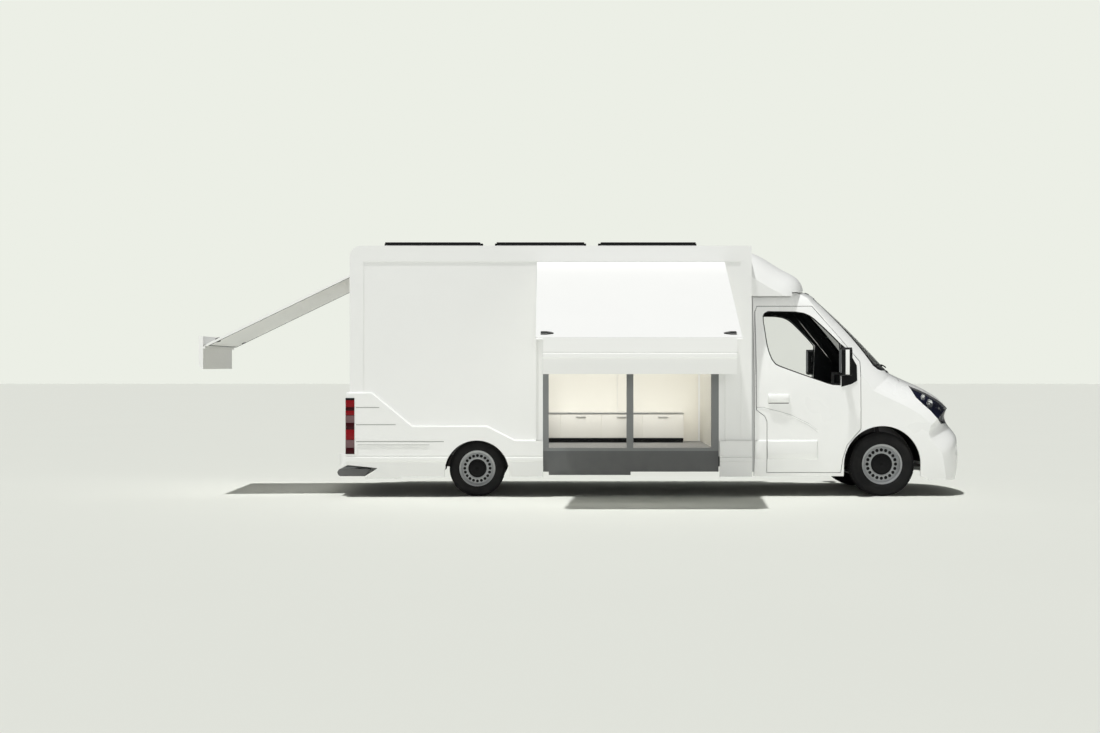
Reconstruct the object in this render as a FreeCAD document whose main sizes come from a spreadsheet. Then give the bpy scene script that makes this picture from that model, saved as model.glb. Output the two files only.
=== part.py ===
# Food truck: cab with a sloping nose, low-floor box body, glazed serving side under a
# top-hung hatch with a hanging apron, and the same kind of hatch across the rear.
# Millimetres. X points forward from the rear axle, Y to the vehicle's left, Z up from the
# ground. At the end every piece is moved so that the origin lies under the middle of the
# whole vehicle, as it stands with both hatches open.
import FreeCAD, Part
import math
import os
import Sketcher

Vector = FreeCAD.Vector

doc = FreeCAD.newDocument("FoodTruck")
sheet = doc.addObject("Spreadsheet::Sheet", "Sizes")

driving = {
    # running gear
    "wheelbase": 4332,
    "front_tyre_radius": 343,
    "rear_tyre_radius": 298,
    "front_tyre_width": 225,
    "rear_tyre_width": 205,
    "front_rim_radius": 205,
    "rear_rim_radius": 182,
    "rim_lip": 12,
    "front_track_half": 872,
    "rear_track_half": 868,
    "hole_ring_share": 0.755,
    "rim_hole_radius": 13,
    "rim_hole_count": 20,
    "stub_radius": 32,
    "running_gap": 0.05,
    "kingpin_low_half": 798,
    "kingpin_low_height": 205,
    "kingpin_top_half": 664,
    "front_arch_radius": 410,
    "liner_thickness": 6,
    "rear_arch_radius": 342,
    "rear_arch_height": 262,
    # ladder frame
    "rail_half": 420,
    "rail_width": 60,
    "rail_depth": 140,
    "frame_top": 430,
    "rail_wall": 8,
    "tow_spacing_across": 83,
    "tow_spacing_up": 56,
    "tow_hole_radius": 6.5,
    # box body
    "box_rear_overhang": 1355,
    "box_half_width": 1080,
    "box_top": 2674,
    "floor_top": 505,
    "wall_thickness": 40,
    "roof_thickness": 45,
    "corner_radius": 120,
    "panel_inset": 7,
    "border_rear": 149,
    "border_front": 115,
    "tub_half_length": 380,
    "tub_depth": 340,
    "tub_height": 660,
    "tub_wall": 15,
    # serving side
    "hatch_rear_edge": 639,
    "hatch_front_margin": 289,
    "hatch_side_gap": 7,
    "hinge_drop": 174,
    "hatch_foot": 550,
    "skin_thickness": 24,
    "hinge_barrel": 6,
    "open_angle": 64.2,
    "rebate_depth": 30,
    "rebate_width": 63,
    "header_drop": 60,
    "apron_rise": 12,
    "apron_drop": 335,
    "apron_inset": 71,
    "frame_depth": 40,
    "post_rear": 62,
    "post_middle": 72,
    "post_front": 79,
    "counter_height": 1354,
    "counter_thickness": 30,
    "counter_depth": 400,
    "counter_rail": 40,
    "pane_thickness": 8,
    "plinth_bottom": 268,
    "plinth_top": 489,
    "plinth_thickness": 10,
    "step_rear": 764,
    "step_length": 873,
    "step_height": 36,
    "step_depth": 330,
    # rear end
    "rear_hatch_half": 855,
    "rear_hinge_drop": 291,
    "rear_foot": 608,
    "rear_apron_rise": 104,
    "rear_apron_drop": 249,
    "rear_apron_proud": 54,
    "rear_post": 240,
    "rear_header_drop": 63,
    "rear_frame_depth": 40,
    "bumper_out": 103,
    "bumper_low": 344,
    "bumper_high": 472,
    "bumper_inner": 872,
    "step_bar_out": 150,
    "step_bar_low": 212,
    "lamp_low": 459,
    "lamp_high": 1055,
    "lamp_length": 96,
    "lamp_behind": 39,
    "lamp_proud": 52,
    "lamp_inner": 1000,
    # lower skirts
    "skirt_proud": 45,
    "skirt_behind": 28,
    "skirt_bottom": 197,
    "sill_bottom": 218,
    "skirt_high": 1103,
    "skirt_middle": 747,
    "skirt_low": 596,
    "groove_depth": 8,
    "groove_width": 12,
    # roof load
    "panel_half_width": 825,
    "panel_thickness": 32,
    "panel_lift": 23,
    "panel_rear_margin": 357,
    "panel_front_margin": 576,
    "panel_short": 942,
    "panel_spacing": 182,
    # inside
    "bench_front": 590,
    "bench_top": 838,
    "bench_rear_end": 420,
    "bench_margin": 593,
    "toe_height": 55,
    "toe_depth": 40,
    "partition_margin": 328,
    # cab
    "cab_gap": 41,
    "cab_behind_axle": 1367,
    "cab_wall": 50,
    "cab_floor_thickness": 40,
    "cab_sill_bottom": 215,
    "cab_half_width": 1004,
    "cab_roof": 2230,
    "nose_overhang": 944,
    "nose_sweep": 160,
    "nose_corner": 260,
    "cab_crown": 55,
    "cab_shoulder": 220,
    "door_front": 4098,
    "door_rear": 2975,
    "door_gap": 6,
    "door_rear_gap": 14,
    "door_top": 2036,
    "door_bottom": 258,
    "glass_thickness": 6,
    "glass_inset": 12,
    "front_skin": 22,
    "lamp_depth": 75,
    "bonnet_rear": 4564,
    "bonnet_half": 738,
    "bumper_top": 800,
    "mirror_reach": 1290,
    "fairing_skin": 14,
    "fairing_half": 950,
    "fairing_bottom": 2143,
}
for number, (alias, amount) in enumerate(driving.items(), start=1):
    sheet.set(f"A{number}", alias)
    sheet.set(f"B{number}", str(amount))
    sheet.setAlias(f"B{number}", alias)
doc.recompute()


class Size:
    """A number with the expression that gives it from the sheet."""

    def __init__(self, amount, text):
        self.amount = amount
        self.text = text

    def joined(self, other, sign, amount):
        return Size(amount, f"({self.text} {sign} {written(other)})")

    def __add__(self, other):
        return self.joined(other, "+", self.amount + number_of(other))

    def __sub__(self, other):
        return self.joined(other, "-", self.amount - number_of(other))

    def __mul__(self, other):
        return self.joined(other, "*", self.amount * number_of(other))

    def __truediv__(self, other):
        return self.joined(other, "/", self.amount / number_of(other))

    def __radd__(self, other):
        return Size(other + self.amount, f"({other} + {self.text})")

    def __rsub__(self, other):
        return Size(other - self.amount, f"({other} - {self.text})")

    def __rmul__(self, other):
        return Size(other * self.amount, f"({other} * {self.text})")

    def __neg__(self):
        return Size(-self.amount, f"(0 - {self.text})")


def number_of(value):
    return value.amount if isinstance(value, Size) else value


def written(value):
    return value.text if isinstance(value, Size) else str(value)


def sine(angle):
    return Size(math.sin(math.radians(angle.amount)), f"sin({angle.text} * 1 deg)")


def cosine(angle):
    return Size(math.cos(math.radians(angle.amount)), f"cos({angle.text} * 1 deg)")


class Named:
    """The driving dimensions by name, read from the sheet."""

    def __getattr__(self, alias):
        return Size(float(sheet.get(alias)), f"Sizes.{alias}")


of = Named()

# Places that several pieces share
front_axle = of.wheelbase
cab_rear = front_axle - of.cab_behind_axle
box_front = cab_rear - of.cab_gap
box_rear = -of.box_rear_overhang
box_side = of.box_half_width
wall_inside = of.box_half_width - of.wall_thickness
roof_under = of.box_top - of.roof_thickness
skirt_side = of.box_half_width + of.skirt_proud
floor_bottom = of.frame_top
rail_bottom = of.frame_top - of.rail_depth
panel_side = of.box_half_width - of.panel_inset
front_hub = of.front_tyre_radius
rear_hub = of.rear_tyre_radius
hatch_front_edge = box_front - of.hatch_front_margin
hinge_height = of.box_top - of.hinge_drop
hatch_reach = hinge_height - of.hatch_foot
rear_hinge_height = of.box_top - of.rear_hinge_drop
rear_reach = rear_hinge_height - of.rear_foot
clear_rear = of.hatch_rear_edge + of.rebate_width
clear_front = hatch_front_edge - of.rebate_width + 5
side_hinge_y = -(of.box_half_width - of.skin_thickness / 2)
rear_hinge_x = box_rear + of.skin_thickness / 2
out_share = sine(of.open_angle)
down_share = cosine(of.open_angle)
apron_shift_out = hatch_reach * out_share
apron_shift_up = hatch_reach * (1 - down_share)
rear_shift_out = rear_reach * out_share
rear_shift_up = rear_reach * (1 - down_share)
panels_top = of.box_top + of.panel_lift + of.panel_thickness

# The whole vehicle's box, which sets the origin under its middle
reach_front = of.wheelbase + of.nose_overhang
reach_rear = box_rear - of.rear_apron_proud - rear_shift_out
reach_left = of.mirror_reach
reach_right = -skirt_side - apron_shift_out
middle_x = (reach_front + reach_rear) / 2
middle_y = (reach_left + reach_right) / 2

pieces = {}
seats = {}


def bind(thing, path, value):
    if isinstance(value, Size):
        thing.setExpression(path, value.text)
    else:
        thing.setExpression(path, str(value))


def placed(thing, x, y, z):
    """Stands a piece at a point and remembers the point for the last move."""
    seats[thing.Name] = (x, y, z)
    bind(thing, "Placement.Base.x", x)
    bind(thing, "Placement.Base.y", y)
    bind(thing, "Placement.Base.z", z)
    return thing


def block(name, x0, x1, y0, y1, z0, z1):
    thing = doc.addObject("Part::Box", name)
    bind(thing, "Length", x1 - x0)
    bind(thing, "Width", y1 - y0)
    bind(thing, "Height", z1 - z0)
    return placed(thing, x0, y0, z0)


def rod(name, radius, along, length, x, y, z):
    """A cylinder from its start point along x, y, -y or z."""
    turns = {
        "x": FreeCAD.Rotation(Vector(0, 1, 0), 90),
        "y": FreeCAD.Rotation(Vector(1, 0, 0), -90),
        "-y": FreeCAD.Rotation(Vector(1, 0, 0), 90),
        "z": FreeCAD.Rotation(),
    }
    thing = doc.addObject("Part::Cylinder", name)
    thing.Placement = FreeCAD.Placement(Vector(), turns[along])
    bind(thing, "Radius", radius)
    bind(thing, "Height", length)
    return placed(thing, x, y, z)


def fused(name, parts):
    thing = doc.addObject("Part::MultiFuse", name)
    thing.Shapes = parts
    thing.Refine = True
    return thing


def cut(name, base, tools):
    tool = tools[0] if len(tools) == 1 else fused(name + "Tools", tools)
    thing = doc.addObject("Part::Cut", name)
    thing.Base = base
    thing.Tool = tool
    return thing


def shared(name, first, second):
    thing = doc.addObject("Part::Common", name)
    thing.Base = first
    thing.Tool = second
    return thing


def mirrored(name, source):
    """The same piece on the other side of the vehicle."""
    thing = doc.addObject("Part::Mirroring", name)
    thing.Source = source
    thing.Base = Vector(0, 0, 0)
    thing.Normal = Vector(0, 1, 0)
    return thing


def grouped(name, parts):
    """Like solids that stay apart, kept as one piece."""
    thing = doc.addObject("Part::Compound", name)
    thing.Links = parts
    return thing


def plane_of(body, role):
    for feature in body.Origin.OriginFeatures:
        if feature.Role == role:
            return feature
    raise ValueError(role)


def arc_between(start, end, radius):
    """The short arc from start to end; a positive radius bulges to the left of the way."""
    middle = (start + end) * 0.5
    half = start.distanceToPoint(end) / 2
    size = abs(radius)
    way = (end - start).normalize()
    left = Vector(-way.y, way.x, 0)
    side = 1 if radius > 0 else -1
    rise = size - math.sqrt(max(size ** 2 - half ** 2, 0))
    return Part.Arc(start, middle + left * (side * rise), end)


def draw(sketch, points):
    """A closed outline: each point is (across, up) or (across, up, arc radius to the next)."""
    corners = [Vector(number_of(p[0]), number_of(p[1]), 0) for p in points]
    count = len(points)
    for index, point in enumerate(points):
        start = corners[index]
        end = corners[(index + 1) % count]
        if len(point) == 3:
            edge = arc_between(start, end, number_of(point[2]))
            sketch.addGeometry(edge, False)
        else:
            sketch.addGeometry(Part.LineSegment(start, end), False)
    ends = []
    for index, point in enumerate(points):
        turned = len(point) == 3 and number_of(point[2]) > 0
        ends.append((2, 1) if turned else (1, 2))
    for index in range(count):
        following = (index + 1) % count
        sketch.addConstraint(
            Sketcher.Constraint("Coincident", index, ends[index][1], following, ends[following][0])
        )
    for index, point in enumerate(points):
        for kind, value in (("DistanceX", point[0]), ("DistanceY", point[1])):
            place = sketch.addConstraint(
                Sketcher.Constraint(kind, -1, 1, index, ends[index][0], number_of(value))
            )
            bind(sketch, f"Constraints[{place}]", value)
        if len(point) == 3:
            size = point[2] if number_of(point[2]) > 0 else -point[2]
            place = sketch.addConstraint(Sketcher.Constraint("Radius", index, number_of(size)))
            bind(sketch, f"Constraints[{place}]", size)


def sketched(body, name, role, points, offset):
    sketch = body.newObject("Sketcher::SketchObject", name)
    sketch.AttachmentSupport = [(plane_of(body, role), "")]
    sketch.MapMode = "FlatFace"
    bind(sketch, "AttachmentOffset.Base.z", offset)
    draw(sketch, points)
    return sketch


def padded(name, role, points, low, high):
    """A body whose outline lies in XY, XZ or YZ and which is as thick as low to high."""
    body = doc.addObject("PartDesign::Body", name)
    offset = -high if role == "XZ_Plane" else low
    sketch = sketched(body, name + "Outline", role, points, offset)
    pad = body.newObject("PartDesign::Pad", name + "Pad")
    pad.Profile = sketch
    bind(pad, "Length", high - low)
    body.Tip = pad
    return body


def turned(name, points):
    """A body turned about its own Z, from an outline of (radius, place along the axis)."""
    body = doc.addObject("PartDesign::Body", name)
    sketch = sketched(body, name + "Section", "XZ_Plane", points, 0)
    turn = body.newObject("PartDesign::Revolution", name + "Turn")
    turn.Profile = sketch
    turn.ReferenceAxis = (sketch, ["V_Axis"])
    turn.Angle = 360
    body.Tip = turn
    return body


def modelled(name, shape):
    """A piece whose shape is worked out below from the same sizes, kept with the front axle."""
    thing = doc.addObject("Part::Feature", name)
    thing.Shape = shape
    return placed(thing, datum, 0, 0)


def finished(node, thing):
    """Takes a piece into the vehicle's own frame and gives it its name."""
    x, y, z = seats.get(thing.Name, (0, 0, 0))
    thing.Label = node
    pieces[node] = placed(thing, x - middle_x, y - middle_y, z)


# Running gear


def tyre(name, radius, width, seat):
    half = width / 2
    bead = half - 22
    return turned(name, [
        (seat, -bead),
        (seat, bead),
        (radius - 60, half),
        (radius, half - 32),
        (radius, 32 - half),
        (radius - 60, -half),
    ])


# Along a wheel's own axis from its middle, outboard positive
hub_behind = 40
bore_ahead = 30
disc_in = 50
disc_out = 60
centre_out = 70
cap_out = 78
hub_radius = 70
rim_sheet = 8
end_gap = 0.3


def rim(name, seat, width):
    """A pressed steel wheel: well, disc with its ring of holes, hub and closed centre."""
    lip = width / 2 - 17
    edge = lip + 6
    well = seat - rim_sheet
    ring = seat * of.hole_ring_share
    hub = seat * 0.52
    bore = of.stub_radius + of.running_gap
    body = turned(name, [
        (seat, -lip),
        (seat + of.rim_lip, -edge),
        (well, -edge),
        (well, disc_in),
        (hub_radius, disc_in),
        (hub_radius, -hub_behind),
        (bore, -hub_behind),
        (bore, bore_ahead),
        (0, bore_ahead),
        (0, cap_out),
        (hub, centre_out),
        (hub + 3, disc_out),
        (well, disc_out),
        (well, edge),
        (seat + of.rim_lip, edge),
        (seat, lip),
    ])
    corner_count = 8
    step = math.radians(360 / corner_count)
    hole = body.newObject("Sketcher::SketchObject", name + "Hole")
    hole.AttachmentSupport = [(plane_of(body, "XY_Plane"), "")]
    hole.MapMode = "FlatFace"
    corners = [(ring + of.rim_hole_radius * math.cos(step * (place + 0.5)),
                of.rim_hole_radius * math.sin(step * (place + 0.5))) for place in range(corner_count)]
    draw(hole, corners)
    pocket = body.newObject("PartDesign::Pocket", name + "Pocket")
    pocket.Profile = hole
    pocket.Type = 1
    pocket.Midplane = True
    pattern = body.newObject("PartDesign::PolarPattern", name + "Ring")
    pattern.Originals = [pocket]
    pattern.Axis = (hole, ["N_Axis"])
    pattern.Angle = 360
    bind(pattern, "Occurrences", of.rim_hole_count)
    body.Tip = pattern
    return body


outboard = {
    "left": FreeCAD.Rotation(Vector(1, 0, 0), -90),
    "right": FreeCAD.Rotation(Vector(1, 0, 0), 90),
}
for end in ("front", "rear"):
    radius, width, seat, half, ahead = {
        "front": (front_hub, of.front_tyre_width, of.front_rim_radius, of.front_track_half, front_axle),
        "rear": (rear_hub, of.rear_tyre_width, of.rear_rim_radius, of.rear_track_half, 0),
    }[end]
    for side in ("left", "right"):
        across = half if side == "left" else -half
        for kind in ("tyre", "rim"):
            name = f"{kind}_{end}_{side}"
            if kind == "tyre":
                wheel = tyre(name + "_body", radius, width, seat)
            else:
                wheel = rim(name + "_body", seat, width)
            wheel.Placement = FreeCAD.Placement(Vector(), outboard[side])
            placed(wheel, ahead, across, radius)
            finished(name, wheel)

# Front knuckles: upright, stub with its collar, and the strut up to the wheelhouse
collar_radius = 46
stub_start = 80
upright = block("Upright", front_axle - 42, front_axle + 42, of.front_track_half - 96,
                of.front_track_half - 64, of.kingpin_low_height + 14, front_hub + 120)
collar = rod("Collar", collar_radius, "y", stub_start - hub_behind - end_gap, front_axle,
             of.front_track_half - stub_start, front_hub)
stub = rod("Stub", of.stub_radius, "y", stub_start + bore_ahead - end_gap, front_axle,
           of.front_track_half - stub_start, front_hub)
arch_top = front_hub + of.front_arch_radius
king_lean = (of.kingpin_low_half - of.kingpin_top_half) / (arch_top - of.kingpin_low_height)
lean_angle = math.degrees(math.atan(king_lean.amount))
strut_radius = 20
end_rise = strut_radius * math.sin(math.radians(lean_angle)) + end_gap
strut_rise = arch_top.amount - of.kingpin_low_height.amount - 2 * end_rise
strut = doc.addObject("Part::Cylinder", "Strut")
strut.Radius = strut_radius
strut.Height = strut_rise / math.cos(math.radians(lean_angle))
strut.Placement = FreeCAD.Placement(
    Vector(front_axle.amount, (of.kingpin_low_half - king_lean * end_rise).amount,
           of.kingpin_low_height.amount + end_rise),
    FreeCAD.Rotation(Vector(1, 0, 0), lean_angle),
)
knuckle = fused("Knuckle", [upright, collar, stub, strut])
finished("knuckle_left", grouped("KnuckleLeft", [knuckle]))
finished("knuckle_right", grouped("KnuckleRight", [mirrored("KnuckleMirror", knuckle)]))

# Front subframe with the lower arms, and the panel that carries the radiator and the lock
arm_top = of.kingpin_low_height
arm = padded("ArmLeft", "XY_Plane", [
    (front_axle - 160, of.rail_half),
    (front_axle + 160, of.rail_half),
    (front_axle + 28, of.kingpin_low_half - 12),
    (front_axle + 14, of.kingpin_low_half + 14),
    (front_axle - 14, of.kingpin_low_half + 14),
    (front_axle - 28, of.kingpin_low_half - 12),
], arm_top - 22, arm_top)
beam = block("FrontBeam", front_axle - 92, front_axle + 92, -(of.rail_half + 30), of.rail_half + 30,
             arm_top - 22, rail_bottom)
finished("front_subframe", fused("FrontSubframe", [beam, arm, mirrored("ArmRight", arm)]))

# Rear axle: cross tube under the frame, trailing arms and stubs
tube_ahead = 170
tube_height = rail_bottom - 45
tube_length = 1250
trail_inner = 260
trail_outer = 210
tube = rod("CrossTube", 45, "y", tube_length, tube_ahead, -tube_length / 2, tube_height)
hanger = block("HangerLeft", tube_ahead - 50, tube_ahead + 50, of.rail_half - 34, of.rail_half + 34,
               tube_height, rail_bottom)
trail = padded("TrailLeft", "XZ_Plane", [
    (tube_ahead - 60, tube_height - 40),
    (tube_ahead + 60, tube_height - 40),
    (tube_ahead + 60, tube_height + 40),
    (48, rear_hub + 46),
    (-48, rear_hub + 46),
    (-48, rear_hub - 46),
    (40, rear_hub - 46),
], of.rear_track_half - trail_inner, of.rear_track_half - trail_outer)
rear_collar = rod("RearCollar", collar_radius, "y", trail_outer - hub_behind - end_gap, 0,
                  of.rear_track_half - trail_outer, rear_hub)
rear_stub = rod("RearStub", of.stub_radius, "y", trail_outer + bore_ahead - end_gap, 0,
                of.rear_track_half - trail_outer, rear_hub)
half_axle = fused("HalfAxle", [hanger, trail, rear_collar, rear_stub])
finished("rear_axle", fused("RearAxle", [tube, half_axle, mirrored("HalfAxleRight", half_axle)]))

# Ladder frame: two channels that open inwards and the members between them
frame_rear = box_rear + 15
frame_front = reach_front - 316
web = of.rail_half + of.rail_width / 2
lip = of.rail_half - of.rail_width / 2
channel = padded("Channel", "YZ_Plane", [
    (web, rail_bottom),
    (web, of.frame_top),
    (lip, of.frame_top),
    (lip, of.frame_top - of.rail_wall),
    (web - of.rail_wall, of.frame_top - of.rail_wall),
    (web - of.rail_wall, rail_bottom + of.rail_wall),
    (lip, rail_bottom + of.rail_wall),
    (lip, rail_bottom),
], frame_rear, frame_front)
members = []
member_places = [frame_rear, of.wheelbase * -0.12, of.wheelbase * 0.16, of.wheelbase * 0.42,
                 of.wheelbase * 0.68, frame_front - 60]
for index, place in enumerate(member_places):
    members.append(block(f"Member{index}", place, place + 50, of.rail_wall / 2 - web,
                         web - of.rail_wall / 2, rail_bottom + of.rail_wall / 2,
                         of.frame_top - of.rail_wall / 2))
frame_body = fused("FrameBody", [channel, mirrored("ChannelRight", channel)] + members)
tow_height = (rail_bottom + of.frame_top) / 2
tow_holes = []
for index, (side, level) in enumerate([(-1, -1), (-1, 1), (1, -1), (1, 1)]):
    tow_holes.append(rod(f"TowHole{index}", of.tow_hole_radius, "x", 70, frame_rear - 10,
                         of.tow_spacing_across / 2 * side, tow_height + of.tow_spacing_up / 2 * level))
chassis = cut("ChassisFrame", frame_body, tow_holes)

finished("engine_block", block("Engine", front_axle - 132, front_axle + 448, 60 - of.rail_half,
                               of.rail_half - 60, rail_bottom, rail_bottom + 590))
finished("fuel_tank", block("FuelTank", cab_rear + 115, cab_rear + 815, of.rail_half + 50,
                            of.rail_half + 440, of.frame_top - 170, of.frame_top))

# Box body


def side_outline():
    return [
        (box_rear, floor_bottom),
        (box_front, floor_bottom),
        (box_front, of.box_top),
        (box_rear + of.corner_radius, of.box_top, -of.corner_radius),
        (box_rear, of.box_top - of.corner_radius),
    ]


hinge_line = hinge_height + of.hinge_barrel + end_gap
recess = block("PanelRecess", box_rear + of.border_rear, box_front - of.border_front, panel_side,
               box_side + 10, floor_bottom - 10, hinge_line)
groove = block("TopGroove", box_rear + of.border_rear, box_front - of.border_front, panel_side - 6,
               box_side + 10, hinge_line - 16, hinge_line)
wall_arch = rod("WallArch", of.rear_arch_radius, "y", 200, 0, wall_inside - 20, of.rear_arch_height)
side_wall = cut("SideWall", padded("SideBlank", "XZ_Plane", side_outline(), wall_inside, box_side),
                [recess, groove, wall_arch])
finished("box_left_wall", grouped("LeftWall", [side_wall]))

header_line = hinge_height - of.header_drop
rebate = block("ServingRebate", of.hatch_rear_edge - of.hatch_side_gap,
               hatch_front_edge + of.hatch_side_gap, -box_side - 10, of.rebate_depth - box_side,
               floor_bottom - 10, hinge_line)
clear = block("ServingClear", clear_rear, clear_front, -box_side - 20, -wall_inside + 20,
              floor_bottom - 20, header_line)
finished("box_right_wall", cut("RightWall", mirrored("SideWallRight", side_wall), [rebate, clear]))

roof_plate = padded("Roof", "XZ_Plane", [
    (box_front, roof_under),
    (box_front, of.box_top),
    (box_rear + of.corner_radius, of.box_top, -of.corner_radius),
    (box_rear, of.box_top - of.corner_radius),
    (box_rear + of.roof_thickness, of.box_top - of.corner_radius, of.corner_radius - of.roof_thickness),
    (box_rear + of.corner_radius, roof_under),
], -wall_inside, wall_inside)
finished("box_front_wall", block("FrontWall", box_front - of.wall_thickness, box_front, -wall_inside,
                                 wall_inside, floor_bottom, roof_under))

floor_rear = box_rear + of.rear_frame_depth
slab = block("FloorSlab", floor_rear, box_front - of.wall_thickness, -wall_inside, wall_inside,
             floor_bottom, of.floor_top)
tub = block("TubLeft", -of.tub_half_length - of.tub_wall, of.tub_half_length + of.tub_wall,
            box_side - of.tub_depth - of.tub_wall, wall_inside, floor_bottom, of.tub_height + of.tub_wall)
tub_hollow = block("TubHollow", -of.tub_half_length, of.tub_half_length, box_side - of.tub_depth,
                   box_side, floor_bottom - 10, of.tub_height)
floor_solid = fused("FloorSolid", [slab, tub, mirrored("TubRight", tub)])
finished("box_floor", cut("Floor", floor_solid, [tub_hollow, mirrored("TubHollowRight", tub_hollow)]))

# Rear frame round the doorway, with the seat of the rear hatch
rear_face = block("RearBlank", box_rear, floor_rear, -wall_inside, wall_inside, floor_bottom,
                  of.box_top - of.corner_radius)
doorway = block("Doorway", box_rear - 10, floor_rear + 10, of.rear_post - wall_inside,
                wall_inside - of.rear_post, of.floor_top, rear_hinge_height - of.rear_header_drop)
rear_line = rear_hinge_height + of.hinge_barrel + end_gap
rear_seat = block("RearSeat", box_rear - 10, box_rear + of.rebate_depth,
                  -of.rear_hatch_half - of.hatch_side_gap, of.rear_hatch_half + of.hatch_side_gap,
                  rear_hinge_height - rear_reach - 48, rear_line)
finished("rear_frame", cut("RearFrame", rear_face, [doorway, rear_seat]))

# Lower skirts: one moulded section along the side, trimmed to its stepped outline


def sill_section(inner, outer, top, bottom, sign):
    ridge = of.sill_bottom + 200
    line = [
        (inner, top),
        (outer, top),
        (outer, ridge + 26),
        (outer - of.groove_depth, ridge + 22),
        (outer - of.groove_depth, ridge + 14),
        (outer + of.groove_depth, ridge + 4),
        (outer + of.groove_depth, ridge - 28),
        (outer - 2, ridge - 42),
        (outer - 22, bottom),
        (inner, bottom),
    ]
    return [(y * sign, z) for y, z in line]


skirt_rear = box_rear - of.skirt_behind
moulding = padded("SkirtMoulding", "YZ_Plane",
                  sill_section(box_side, skirt_side, of.skirt_high, of.skirt_bottom, 1),
                  skirt_rear, box_front)
stepped = padded("SkirtOutline", "XZ_Plane", [
    (skirt_rear, of.bumper_low),
    (box_rear + 301, of.bumper_low - 34),
    (box_rear + 165, of.skirt_bottom),
    (box_rear + 535, of.skirt_bottom),
    (box_rear + 555, of.sill_bottom),
    (box_front, of.sill_bottom),
    (box_front, of.skirt_low),
    (box_rear + 1760, of.skirt_low),
    (box_rear + 1462, of.skirt_middle),
    (box_rear + 668, of.skirt_middle),
    (box_rear + 237, of.skirt_high),
    (skirt_rear, of.skirt_high),
], box_side - 10, skirt_side + 20)
skirt_arch = rod("SkirtArch", of.rear_arch_radius, "y", 200, 0, box_side - 20, of.rear_arch_height)
lamp_notch = block("LampNotch", skirt_rear - 30, box_rear - of.lamp_behind + of.lamp_length, box_side - 20,
                   skirt_side + 40, of.lamp_low, of.lamp_high)
skirt_tools = [skirt_arch, lamp_notch]
for index, (height, reach) in enumerate([(954, 321), (771, 494), (592, 1005)]):
    skirt_tools.append(block(f"SkirtGroove{index}", box_rear + 74, box_rear + reach,
                             skirt_side - of.groove_depth, skirt_side + 30,
                             height - of.groove_width / 2, height + of.groove_width / 2))
skirt_tools.append(block("SkirtPanel", box_rear + 90, box_rear + 854, skirt_side - of.groove_depth,
                         skirt_side + 30, of.sill_bottom + 230, of.sill_bottom + 343))
left_skirt = cut("LeftSkirt", shared("SkirtShape", moulding, stepped), skirt_tools)
apron_rear = of.hatch_rear_edge + of.apron_inset
apron_front = hatch_front_edge - of.apron_inset + 12
serving_gap = block("ServingGap", apron_rear - 6, apron_front + 6, -skirt_side - 40, -box_side + 20,
                    of.sill_bottom - 60, of.skirt_low + 60)
right_skirt = cut("RightSkirt", mirrored("SkirtRight", left_skirt), [serving_gap])
finished("side_skirts", grouped("SideSkirts", [left_skirt, right_skirt]))

tail_lamp = padded("TailLampLeft", "XY_Plane", [
    (box_rear - of.lamp_behind + of.lamp_length, box_side),
    (box_rear - of.lamp_behind + of.lamp_length, box_side + of.lamp_proud),
    (box_rear - of.lamp_behind + 14, box_side + of.lamp_proud),
    (box_rear - of.lamp_behind, box_side + of.lamp_proud - 14),
    (box_rear - of.lamp_behind, of.lamp_inner),
    (box_rear, of.lamp_inner),
    (box_rear, box_side),
], of.lamp_low, of.lamp_high)
finished("tail_lamps", grouped("TailLamps", [tail_lamp, mirrored("TailLampRight", tail_lamp)]))

corner = padded("BumperCornerLeft", "XY_Plane", [
    (box_rear, of.bumper_inner),
    (box_rear, box_side),
    (skirt_rear, box_side),
    (skirt_rear, skirt_side),
    (box_rear - of.bumper_out + 48, skirt_side, -60),
    (box_rear - of.bumper_out, skirt_side - 52),
    (box_rear - of.bumper_out, of.bumper_inner + 12),
    (box_rear - of.bumper_out + 12, of.bumper_inner),
], of.bumper_low, of.lamp_low)
step_bar = padded("StepBar", "XZ_Plane", [
    (box_rear - of.step_bar_out, of.step_bar_low + 44, 60),
    (box_rear - of.step_bar_out + 28, rail_bottom),
    (box_rear + 205, rail_bottom),
    (box_rear + 145, of.step_bar_low),
    (box_rear - of.step_bar_out + 28, of.step_bar_low, 60),
], of.rail_half * -2.2, of.rail_half * 2.2)
finished("rear_bumper", grouped("RearBumper", [corner, mirrored("BumperCornerRight", corner)]))
finished("rear_step", step_bar)

# Roof load: rails and three solar panels
panel_first = box_rear + of.panel_rear_margin
panel_last = box_front - of.panel_front_margin
panel_long = (panel_last - panel_first - of.panel_spacing * 2 - of.panel_short) / 2
panel_starts = [
    panel_first,
    panel_first + panel_long + of.panel_spacing,
    panel_last - panel_long,
]
panel_lengths = [panel_long, of.panel_short, panel_long]
solar = []
for index in range(3):
    panel_end = panel_starts[index] + panel_lengths[index]
    solar.append(block(f"SolarPanel{index}", panel_starts[index], panel_end, -of.panel_half_width,
                       of.panel_half_width, of.box_top + of.panel_lift, panels_top))
finished("solar_panels", grouped("SolarPanels", solar))
rail_overrun = 40
roof_rail = block("RoofRailLeft", panel_first - rail_overrun, panel_last + rail_overrun,
                  of.panel_half_width - 240, of.panel_half_width - 200, of.box_top,
                  of.box_top + of.panel_lift)
finished("box_roof", fused("RoofWithRails", [roof_plate, roof_rail, mirrored("RoofRailRight", roof_rail)]))

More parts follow.
